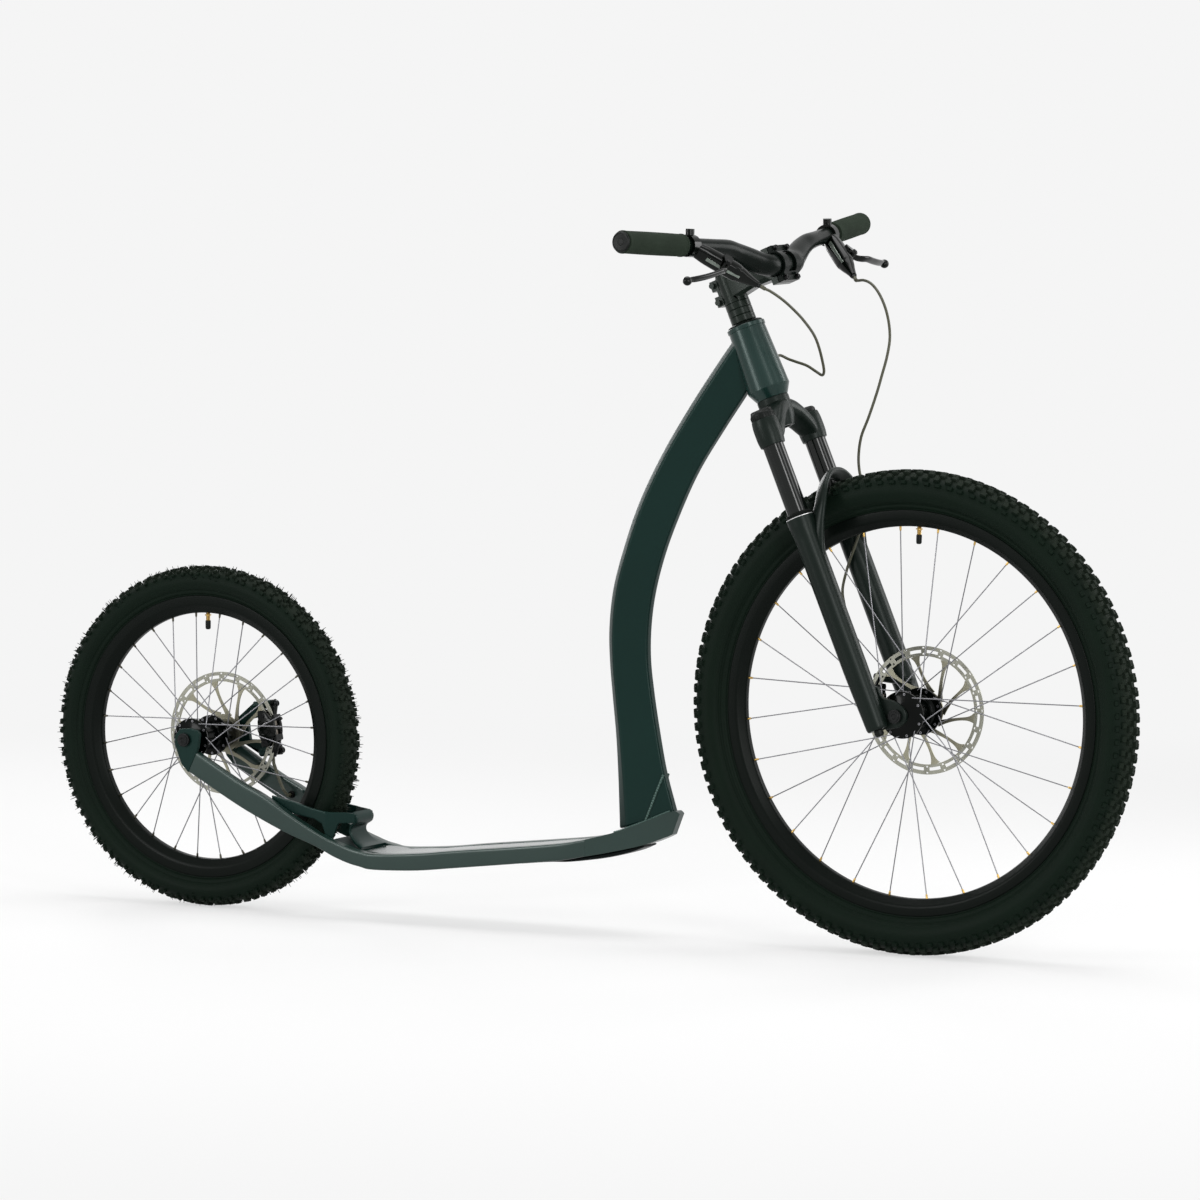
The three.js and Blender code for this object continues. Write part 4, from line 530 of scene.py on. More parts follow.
class Shell:
    """Corners in millimetres and faces, gathered before they become one piece."""

    def __init__(self, place: Matrix | None = None) -> None:
        """Starts empty; place carries the corners into the bike's frame."""
        self.place = place or Matrix.Identity(4)
        self.corners: list[Vector] = []
        self.faces: list[tuple[int, ...]] = []

    def rings(self, rings: Sequence[Sequence[Vector]], loop: bool = False, closed: bool = True) -> "Shell":
        """Skins rings of equal count.

        Args:
            rings: The rings, in order.
            loop: Whether the last ring joins the first.
            closed: Whether each ring closes on itself and the ends get caps.

        Returns:
            The shell itself.
        """
        start, count, total = len(self.corners), len(rings[0]), len(rings)
        for ring in rings:
            self.corners.extend(self.place @ Vector(p) for p in ring)
        for i in range(total if loop else total - 1):
            a, b = start + i * count, start + ((i + 1) % total) * count
            for k in range(count if closed else count - 1):
                n = (k + 1) % count
                self.faces.append((a + k, a + n, b + n, b + k))
        if closed and not loop:
            self.faces.append(tuple(range(start + count - 1, start - 1, -1)))
            self.faces.append(tuple(range(start + (total - 1) * count, start + total * count)))
        return self

    def turned(
        self, profile: Sequence[tuple[float, float]], segments: int = 48, place: Matrix | None = None
    ) -> "Shell":
        """Turns [radius, height] points about Z.

        Args:
            profile: A closed outline, or one that starts and ends on the axis.
            segments: Steps round the axis.
            place: Where the axis goes, inside the shell's own place.

        Returns:
            The shell itself.
        """
        at = place or Matrix.Identity(4)
        hollow = min(r for r, _ in profile) > 1e-6
        rings = []
        for k in range(segments):
            c, s = math.cos(TURN * k / segments), math.sin(TURN * k / segments)
            rings.append([at @ Vector((r * c, r * s, h)) for r, h in profile])
        return self.rings(rings, loop=True, closed=hollow)

    def swept(
        self,
        points: Sequence[Vector],
        radius: float | Callable[[float], float],
        sides: int = 14,
        up: Vector | None = None,
        flat: float = 1.0,
        power: float = 2.0,
    ) -> "Shell":
        """Runs a round or flattened section along points.

        Args:
            points: The path.
            radius: Its radius, or a function of the share of the path.
            sides: Corners of the section.
            up: A direction that the section's first axis keeps to, for flattened sections.
            flat: The second axis as a share of the first.
            power: How square the section is.

        Returns:
            The shell itself.
        """
        rings = []
        normal = None
        last = len(points) - 1
        for k, point in enumerate(points):
            ahead, behind = points[min(k + 1, last)], points[max(k - 1, 0)]
            along = (ahead - behind).normalized()
            if up is not None:
                normal = (up - along * up.dot(along)).normalized()
            elif normal is None:
                normal = along.orthogonal().normalized()
            else:
                normal = (normal - along * normal.dot(along)).normalized()
            across = along.cross(normal)
            size = radius(k / last) if callable(radius) else radius
            section = superellipse(size, size * flat, power, sides)
            rings.append([point + normal * a + across * b for a, b in section])
        return self.rings(rings)

    def rod(
        self, start: Vector, end: Vector, radius: float, end_radius: float | None = None, sides: int = 20
    ) -> "Shell":
        """Adds a straight round bar."""
        tip = radius if end_radius is None else end_radius
        return self.swept([start, end], lambda share: radius + (tip - radius) * share, sides)

    def block(self, place: Matrix, size: tuple[float, float, float], taper: float = 1.0, sunk: float = 0.0) -> "Shell":
        """Adds a block with chamfered, tapered top edges.

        Args:
            place: The middle of its foot, with Z up.
            size: Width, length and height.
            taper: The foot's size as a share of the top's.
            sunk: How far the foot goes below its place.

        Returns:
            The shell itself.
        """
        wide, long, high = size
        levels = ((-sunk, taper), (high * 0.72, 1.0), (high, 0.84))
        rings = [
            [
                place @ Vector((sx * wide / 2 * share, sy * long / 2 * share, level))
                for sx, sy in ((-1, -1), (1, -1), (1, 1), (-1, 1))
            ]
            for level, share in levels
        ]
        return self.rings(rings)

    def slab(self, outline: Sequence[tuple[float, float]], low: float, high: float) -> "Shell":
        """Gives an outline in the XZ plane thickness along Y."""
        return self.rings([[Vector((x, y, z)) for x, z in outline] for y in (low, high)])

    def mesh(self, name: str) -> bpy.types.Mesh:
        """The shell as a welded mesh in metres, faces outward."""
        data = bpy.data.meshes.new(name)
        data.from_pydata([c * MM for c in self.corners], [], self.faces)
        body = bmesh.new()
        body.from_mesh(data)
        bmesh.ops.remove_doubles(body, verts=body.verts, dist=1e-6)
        bmesh.ops.recalc_face_normals(body, faces=body.faces)
        body.to_mesh(data)
        body.free()
        return data


def rounded(mesh: bpy.types.Mesh, width: float, angle: float = 28, segments: int = 3) -> None:
    """Rounds a mesh's sharp edges.

    Args:
        mesh: The mesh, changed in place.
        width: The rounding's width in millimetres.
        angle: Edges that turn more than this many degrees are rounded.
        segments: Steps over each rounding.
    """
    body = bmesh.new()
    body.from_mesh(mesh)
    bmesh.ops.remove_doubles(body, verts=body.verts, dist=1e-6)
    bmesh.ops.dissolve_limit(
        body, angle_limit=math.radians(0.6), verts=body.verts, edges=body.edges, delimit={"NORMAL"}
    )
    sharp = [e for e in body.edges if e.is_manifold and e.calc_face_angle(0) > math.radians(angle)]
    bmesh.ops.bevel(
        body, geom=sharp, offset=width * MM, offset_type="OFFSET", segments=segments, profile=0.5,
        affect="EDGES", clamp_overlap=True,
    )
    body.to_mesh(mesh)
    body.free()


def piece(
    name: str,
    mesh: bpy.types.Mesh,
    finish: Finish,
    body: Body,
    *nodes: str,
    crease: float = 32,
    ride: bool = True,
) -> bpy.types.Object:
    """Makes a mesh into a piece of the bike.

    Args:
        name: The piece's name.
        mesh: Its mesh, in the bike's frame.
        finish: Its finish.
        body: The group that it moves with.
        nodes: The solids that it stands for.
        crease: Edges that turn more than this many degrees stay sharp.
        ride: Whether it rides rigidly; a bending hose doesn't.

    Returns:
        The object.
    """
    mesh.shade_smooth()
    mesh.set_sharp_from_angle(angle=math.radians(crease))
    mesh.materials.clear()
    mesh.materials.append(finish.material())
    made = bpy.data.objects.new(name, mesh)
    bpy.context.scene.collection.objects.link(made)
    made.modifiers.new("even_normals", "WEIGHTED_NORMAL").keep_sharp = True
    if ride:
        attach(made, body.value)
    if nodes:
        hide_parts(*nodes)
    LOG.info("%s: %d faces on %s", name, len(mesh.polygons), body.value)
    return made


def stand_in(node: str, mesh: bpy.types.Mesh, finish: Finish, body: Body, crease: float = 32) -> None:
    """Lets a mesh stand for a solid, as a piece of its name with _dressed."""
    piece(f"{node}_dressed", mesh, finish, body, node, crease=crease)


def softened(node: str, finish: Finish, body: Body, width: float = 0.8, angle: float = 28) -> None:
    """Rounds the edges of a copy of a solid and lets it stand for the solid.

    Args:
        node: The solid.
        finish: Its finish.
        body: The group that it moves with.
        width: The rounding's width in millimetres.
        angle: Edges that turn more than this many degrees are rounded.
    """
    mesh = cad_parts[node].data.copy()
    rounded(mesh, width, angle)
    stand_in(node, mesh, finish, body)


def painted(node: str, finish: Finish) -> None:
    """Gives a solid that keeps its shape its finish."""
    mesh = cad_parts[node].data
    mesh.materials.clear()
    mesh.materials.append(finish.material())
    LOG.info("%s: finish %s", node, finish.name)


# Stance, from the wheels and the steering axis

HALF_LENGTH = 617.5
WHEELBASE = 1145.5
REAR_RADIUS = 250
FRONT_RADIUS = 339.5
FRONT_DISC = 37
REAR_DISC = 42
HEAD_ANGLE = math.radians(67.2)
AXIS_UP = Vector((-math.cos(HEAD_ANGLE), 0, math.sin(HEAD_ANGLE)))
AXIS_FORWARD = Vector((math.sin(HEAD_ANGLE), 0, math.cos(HEAD_ANGLE)))
FORWARD = Vector((1, 0, 0))
SIDEWAYS = Vector((0, 1, 0))
FORK_OFFSET = 37.0
AXLE_DOWN = -483.6
REAR_AXLE = Vector((-HALF_LENGTH, 0, REAR_RADIUS))
FRONT_AXLE = Vector((WHEELBASE - HALF_LENGTH, 0, FRONT_RADIUS))
FORK_AXLE = Vector((FORK_OFFSET, 0, AXLE_DOWN))
HEAD_FOOT = FRONT_AXLE - AXIS_FORWARD * FORK_OFFSET - AXIS_UP * AXLE_DOWN
STEERING = axes(AXIS_FORWARD, SIDEWAYS, AXIS_UP, HEAD_FOOT)

# How the calipers and axles are bolted on

CALIPER_RADIUS = 80
CALIPER_HEIGHT = 32
POST_SPACING = 69
POST_OFFSET = 15
AXLE_HEAD = 5
FORK_BRAKE = Matrix.Translation(FORK_AXLE) @ Matrix.Rotation(-math.radians(152), 4, "Y")


# Wheels


@dataclass(frozen=True)
class KnobRow:
    """One ring of tread knobs, at a share of the tyre's half width."""

    share: float
    width: float
    length: float
    height: float
    shift: float


@dataclass(frozen=True)
class Wheel:
    """A spoked wheel with a knobbly tyre and a brake disc; sizes in millimetres."""

    name: str
    body: Body
    centre: Vector
    tyre_radius: float
    tyre_width: float
    rim_radius: float
    rim_depth: float
    rim_width: float
    hub_width: float
    near_flange: float
    far_flange: float
    flange_radius: float
    shell_radius: float
    rotor_plane: float
    valve_angle: float
    pitches: int
    rows: tuple[KnobRow, ...]
    nipples: Finish
    hairs: int = 0
    jitter: float = 0.0
    tread_height: float = 4.5
    spoke_count: int = 28
    spoke_radius: float = 0.9
    spoke_cross: float = math.radians(52)
    flange_thickness: float = 4
    rotor_radius: float = 90
    track_width: float = 14
    rotor_thickness: float = 1.8
    rotor_arms: int = 10
    rotor_bore: float = 17.3
    valve_length: float = 15.5

    @property
    def place(self) -> Matrix:
        """Carries the wheel's own axes to the axle."""
        return Matrix.Translation(self.centre)

    @property
    def lathe(self) -> Matrix:
        """Turns a lathe's Z axis onto the axle, left side up."""
        return axes(FORWARD, Vector((0, 0, -1)), SIDEWAYS, Vector((0, 0, 0)))

    @property
    def crown(self) -> float:
        """The radius under the knobs."""
        return self.tyre_radius - self.tread_height

    @property
    def bed(self) -> float:
        """The rim's inner radius."""
        return self.rim_radius - self.rim_depth

    def metres(self) -> tuple[float, float, float]:
        """The centre in metres, for the finishes."""
        return tuple(self.centre * MM)

    def side_curve(self) -> list[Vector]:
        """One side of the tyre's section, from bead to crown, as radius and width."""
        rim, height, half = self.rim_radius, self.crown - self.rim_radius, self.tyre_width / 2
        bead = self.rim_width / 2 - 1.4
        shape = [
            (rim - 1.5, bead - 0.6), (rim + 1.5, bead), (rim + 3.4, bead + 2.6), (rim + 5.2, bead + 3.6),
            (rim + 7.0, bead + 3.9), (rim + 0.26 * height, 0.84 * half), (rim + 0.4 * height, 0.965 * half),
            (rim + 0.52 * height, half), (rim + 0.66 * height, 0.965 * half), (rim + 0.8 * height, 0.85 * half),
            (rim + 0.91 * height, 0.65 * half), (rim + 0.975 * height, 0.4 * half), (self.crown, 0),
        ]
        return Curve([(r, y, 0) for r, y in shape]).uniform(48)

    def surface(self, share: float) -> tuple[Vector, Vector]:
        """The tread's surface at a share of the half width.

        Args:
            share: From -1 on the right to 1 on the left.

        Returns:
            The point and the outward direction, each as radius and width.
        """
        target = abs(share) * self.tyre_width / 2
        curve = self.side_curve()
        upper = [p for p in curve if p.x > self.rim_radius + 0.52 * (self.crown - self.rim_radius)]
        k = next((i for i in range(len(upper) - 1) if upper[i + 1].y <= target), len(upper) - 2)
        a, b = upper[k], upper[k + 1]
        run = b - a
        part = (target - a.y) / run.y if abs(run.y) > 1e-6 else 0
        at = a + run * clamped(part)
        out = Vector((-run.y, run.x, 0)).normalized()
        if out.x < 0:
            out = -out
        sign = math.copysign(1, share)
        return Vector((at.x, sign * at.y, 0)), Vector((out.x, sign * abs(out.y), 0))

    def around(self, radius: float, angle: float, across: float) -> Vector:
        """A point at a radius and angle, clockwise from the top as seen from the right."""
        return Vector((radius * math.sin(angle), across, radius * math.cos(angle)))

    def knob_place(self, row: KnobRow, angle: float) -> Matrix:
        """Where a knob's foot stands, with Z out of the tyre and Y round it."""
        at, out = self.surface(row.share)
        radial, tangent = self.around(1, angle, 0), self.around(1, angle + math.pi / 2, 0)
        normal = radial * out.x + SIDEWAYS * out.y
        return axes(tangent.cross(normal), tangent, normal, self.around(at.x, angle, at.y))

    def tyre(self) -> None:
        """Builds the carcass and its knobs."""
        side = self.side_curve()
        outer = [(p.x, p.y) for p in side]
        profile = outer + [(r, -y) for r, y in reversed(outer[:-1])]
        wall = self.rim_width / 2 - 5
        inner = [(self.rim_radius - 3, -wall), (self.rim_radius - 3, wall)]
        shell = Shell(self.place).turned(profile + inner, 240, self.lathe)
        pitch = TURN / self.pitches
        chance = random.Random(11)
        for row in self.rows:
            for k in range(self.pitches):
                turn = pitch * (k + row.shift + self.jitter * chance.uniform(-1, 1))
                size = 1 + self.jitter * chance.uniform(-1, 0.6)
                high = row.height * (1 - self.jitter * chance.random())
                shell.block(self.knob_place(row, turn), (row.width * size, row.length * size, high), 1.16, 1.6)
        for _ in range(self.hairs):
            share = math.copysign(chance.uniform(0.3, 0.99), chance.random() - 0.5)
            at, out = self.surface(share)
            angle = chance.uniform(0, TURN)
            foot = self.around(at.x, angle, at.y)
            lean = (self.around(1, angle, 0) * (out.x + 0.4) + SIDEWAYS * out.y).normalized()
            free = math.sin(angle) > -0.9 and math.cos(angle) > -0.9
            limit = self.tyre_radius + (3.4 if free else -0.2)
            reach = chance.uniform(5.5, 9.5)
            while reach > 1 and (foot + lean * reach - SIDEWAYS * (foot + lean * reach).y).length > limit:
                reach -= 0.4
            shell.rod(foot, foot + lean * reach, 0.75, 0.3, 5)
        finish = TyreRubber(
            f"tyre_{self.name}", "tyre_rubber", Colour(10, 21, 14), 0.55, 0, 0.06,
            centre=self.metres(), bead=self.rim_radius, crown=self.crown,
        )
        stand_in(f"{self.name}_tyre", shell.mesh("tyre"), finish, self.body, crease=38)

    def rim(self) -> None:
        """Builds the rim."""
        half, bed, depth, edge = self.rim_width / 2, self.bed, self.rim_depth, self.rim_radius
        side = [
            (bed, 3.0), (bed + 0.3, 4.6), (bed + 1.4, 6.4), (bed + 0.16 * depth, 8.2),
            (bed + 0.34 * depth, half - 2.2), (bed + 0.44 * depth, half - 0.7), (bed + 0.55 * depth, half),
            (edge - 1.6, half), (edge - 0.3, half - 0.6), (edge, half - 1.5), (edge - 0.4, half - 2.6),
            (edge - 6.5, half - 2.8),
        ]
        profile = side + [(r, -y) for r, y in reversed(side)]
        mesh = Shell(self.place).turned(profile, 240, self.lathe).mesh("rim")
        stand_in(f"{self.name}_rim", mesh, RIM_BLACK, self.body, crease=50)

    def spoke_ends(self) -> list[tuple[Vector, Vector, Vector]]:
        """Each spoke's head, elbow and outer end."""
        pitch = TURN / self.spoke_count
        phase = math.pi / 2 - self.valve_angle + pitch / 2
        foot = self.flange_radius - 3.4
        ends = []
        for k in range(self.spoke_count):
            flange = -self.near_flange if k % 2 == 0 else self.far_flange
            lead = 1 if (k // 2) % 2 == 0 else -1
            angle = pitch * k + phase
            stand = self.flange_thickness / 2 + self.spoke_radius * 0.5
            inner = angle + lead * self.spoke_cross
            head = self.around(foot, inner, flange - lead * (stand + 0.6))
            elbow = self.around(foot, inner, flange + lead * stand)
            ends.append((head, elbow, self.around(self.bed + 1.5, angle, 0)))
        return ends

    def spokes(self) -> None:
        """Builds the spokes, their heads and their nipples."""
        wires, sleeves = Shell(self.place), Shell(self.place)
        for head, elbow, end in self.spoke_ends():
            run = (end - elbow).normalized()
            wires.swept([head, elbow, elbow + run * 0.8, end], self.spoke_radius * 0.95, 8)
            wires.rod(head, head + (elbow - head).normalized() * 0.9, self.spoke_radius * 2.1, None, 10)
            foot, top = end - run * 7.5, end - run * 0.4
            sleeves.rod(foot, foot + run * 1.2, 1.1, 1.5, 10).rod(foot + run * 1.2, top, 1.5, 1.8, 10)
        stand_in(f"{self.name}_spokes", wires.mesh("spokes"), SPOKE, self.body, crease=60)
        piece(f"{self.name}_nipples", sleeves.mesh("nipples"), self.nipples, self.body, crease=60)

    def hub(self) -> None:
        """Builds the hub shell with its flanges, end caps and disc bolts."""
        bore, cap, seat, spigot = 6.3, 13.0, 22, 17
        full, edge, waist = self.flange_thickness, self.flange_radius, self.shell_radius
        near, far, half, thick = -self.near_flange, self.far_flange, self.hub_width / 2, full / 2
        cone = edge - full * 2.2
        mount = self.rotor_plane - self.rotor_thickness / 2 - GAP
        cap_start = -half + (half + near) / 2
        boss = min(self.rotor_plane + full, half - full)
        profile = [
            (bore, -half), (cap - 1, -half), (cap, -half + 1), (cap, cap_start), (cone, near - thick),
            (edge - 0.8, near - thick), (edge, near - thick + 0.8), (edge, near + thick - 0.8),
            (edge - 0.8, near + thick), (cone, near + thick), (waist + 1, near + 1.6 * full),
            (waist, near + 2.4 * full), (waist, far - 2.4 * full), (waist + 1, far - 1.6 * full),
            (cone, far - thick), (edge - 0.8, far - thick), (edge, far - thick + 0.8),
            (edge, far + thick - 0.8), (edge - 0.8, far + thick), (seat, far + thick), (seat, mount),
            (spigot, mount), (spigot, boss), (cap, boss), (cap, half - 1), (cap - 1, half), (bore, half),
        ]
        mesh = Shell(self.place).turned(profile, 72, self.lathe).mesh("hub")
        stand_in(f"{self.name}_hub", mesh, HUB_BLACK, self.body, crease=30)
        bolts = Shell(self.place)
        for k in range(6):
            spot = self.around(21.5, TURN * (k + 0.5) / 6, self.rotor_plane + self.rotor_thickness / 2)
            edge, top = spot + SIDEWAYS * 1.4, spot + SIDEWAYS * 2.1
            bolts.rod(spot, edge, 3.2, 3.0, 16).rod(edge, top, 3.0, 2.0, 16)
        piece(f"{self.name}_disc_bolts", bolts.mesh("bolts"), BOLT, self.body)

    def disc_cell(self, step: int, band: int, per: int) -> bool:
        """Whether a cell of the brake track is steel, and not in one of its slots."""
        within = step % per
        long_slot = band in (2, 3) and 1 <= within < per * 0.7
        small_hole = band in (1, 5) and per * 0.76 <= within < per * 0.9
        return not (long_slot or small_hole)

    def disc_track(self) -> Shell:
        """The slotted brake track as a shell."""
        steps, per = 320, 16
        track = self.rotor_radius - self.track_width
        shares = (0, 0.14, 0.3, 0.5, 0.62, 0.76, 0.9, 1)
        radii = [track + self.track_width * share for share in shares]
        shell = Shell(self.place)
        low = self.rotor_plane - self.rotor_thickness / 2
        high = self.rotor_plane + self.rotor_thickness / 2
        grid = [
            [[self.around(r, TURN * i / steps, y) for r in radii] for i in range(steps)] for y in (low, high)
        ]
        count = len(radii)
        for layer in grid:
            for column in layer:
                shell.corners.extend(self.place @ p for p in column)

        def corner(layer: int, i: int, j: int) -> int:
            """The number of a corner of the grid."""
            return layer * steps * count + (i % steps) * count + j

        def filled(i: int, j: int) -> bool:
            """Whether a cell is part of the track and steel."""
            return 0 <= j < count - 1 and self.disc_cell(i % steps, j, per)

        for i in range(steps):
            for j in range(count - 1):
                if not filled(i, j):
                    continue
                for layer in (0, 1):
                    cell = ((i, j), (i + 1, j), (i + 1, j + 1), (i, j + 1))
                    shell.faces.append(tuple(corner(layer, *spot) for spot in cell))
                for other, edge in (
                    ((i, j - 1), ((i, j), (i + 1, j))), ((i, j + 1), ((i, j + 1), (i + 1, j + 1))),
                    ((i - 1, j), ((i, j), (i, j + 1))), ((i + 1, j), ((i + 1, j), (i + 1, j + 1))),
                ):
                    if not filled(*other):
                        start, end = edge
                        shell.faces.append((corner(0, *start), corner(0, *end), corner(1, *end), corner(1, *start)))
        return shell

    def rotor(self) -> None:
        """Builds the brake disc: slotted track, swept arms and inner ring."""
        shell = self.disc_track()
        low = self.rotor_plane - self.rotor_thickness / 2
        high = low + self.rotor_thickness
        shell.turned([(self.rotor_bore, low), (27.5, low), (28, low + 0.3), (28, high - 0.3), (27.5, high),
                      (self.rotor_bore, high)], 96, self.lathe)
        pitch = TURN / self.rotor_arms
        track = self.rotor_radius - self.track_width
        for k in range(self.rotor_arms):
            inner, outer = pitch * (k + 0.86), pitch * (k + 1.82)
            foot = Vector((26.5 * math.cos(inner), 26.5 * math.sin(inner)))
            head = Vector(((track + 0.8) * math.cos(outer), (track + 0.8) * math.sin(outer)))
            run = head - foot
            side = Vector((-run.y, run.x)).normalized()
            left, right = [], []
            for step in range(17):
                share = step / 16
                bow = 2.6 * math.sin(math.pi * share)
                half = 1.9 + 2.8 * (1 - share) ** 4 + 6.5 * share**9
                middle = foot + run * share + side * bow
                left.append(middle + side * half)
                right.append(middle - side * half)
            outline = left + right[::-1]
            shell.rings([[Vector((p.x, y, p.y)) for p in outline] for y in (low + 0.06, high - 0.06)])
        finish = BrakeSteel(
            f"disc_{self.name}", "rotor_steel", Colour(150, 150, 139), 0.34, 1.0, centre=self.metres(), track=track
        )
        stand_in(f"{self.name}_rotor", shell.mesh("rotor"), finish, self.body, crease=30)

    def valve(self) -> None:
        """Builds the valve's stem, its lock ring and its cap."""
        out = Vector((math.cos(self.valve_angle), 0, math.sin(self.valve_angle)))
        start = self.bed + 2
        end = start - self.valve_length - 4
        stem, cap = Shell(self.place), Shell(self.place)
        place = facing(out * end, out)
        threads = [(0, 0)]
        length, turn_height = start - end, 0.9
        for k in range(int(length / turn_height)):
            threads += [(2.85, k * turn_height), (3.1, (k + 0.5) * turn_height)]
        stem.turned([*threads, (2.9, length), (0, length)], 24, place)
        ring = [(2.6, 6.2), (4.4, 6.2), (4.8, 5.6), (4.8, 4.6), (2.6, 4.6)]
        stem.turned([(r, length - down) for r, down in ring], 24, place)
        cap.turned([(0, -6.8), (2.4, -6.8), (3.4, -6.0), (3.9, -4.6), (4.0, 5.2), (3.6, 6.2), (0, 6.2)], 28, place)
        stand_in(f"{self.name}_valve", stem.mesh("stem"), BRASS, self.body)
        piece(f"{self.name}_valve_cap", cap.mesh("cap"), KNOB, self.body)

    def build(self) -> None:
        """Builds every piece of the wheel."""
        self.tyre()
        self.rim()
        self.spokes()
        self.hub()
        self.rotor()
        self.valve()


def paired(share: float, width: float, length: float, height: float, shift: float) -> tuple[KnobRow, KnobRow]:
    """A row on each side of the tyre, half a pitch apart."""
    return tuple(KnobRow(side * share, width, length, height, move) for side, move in ((1, shift), (-1, shift + 0.5)))


# Fork and steering


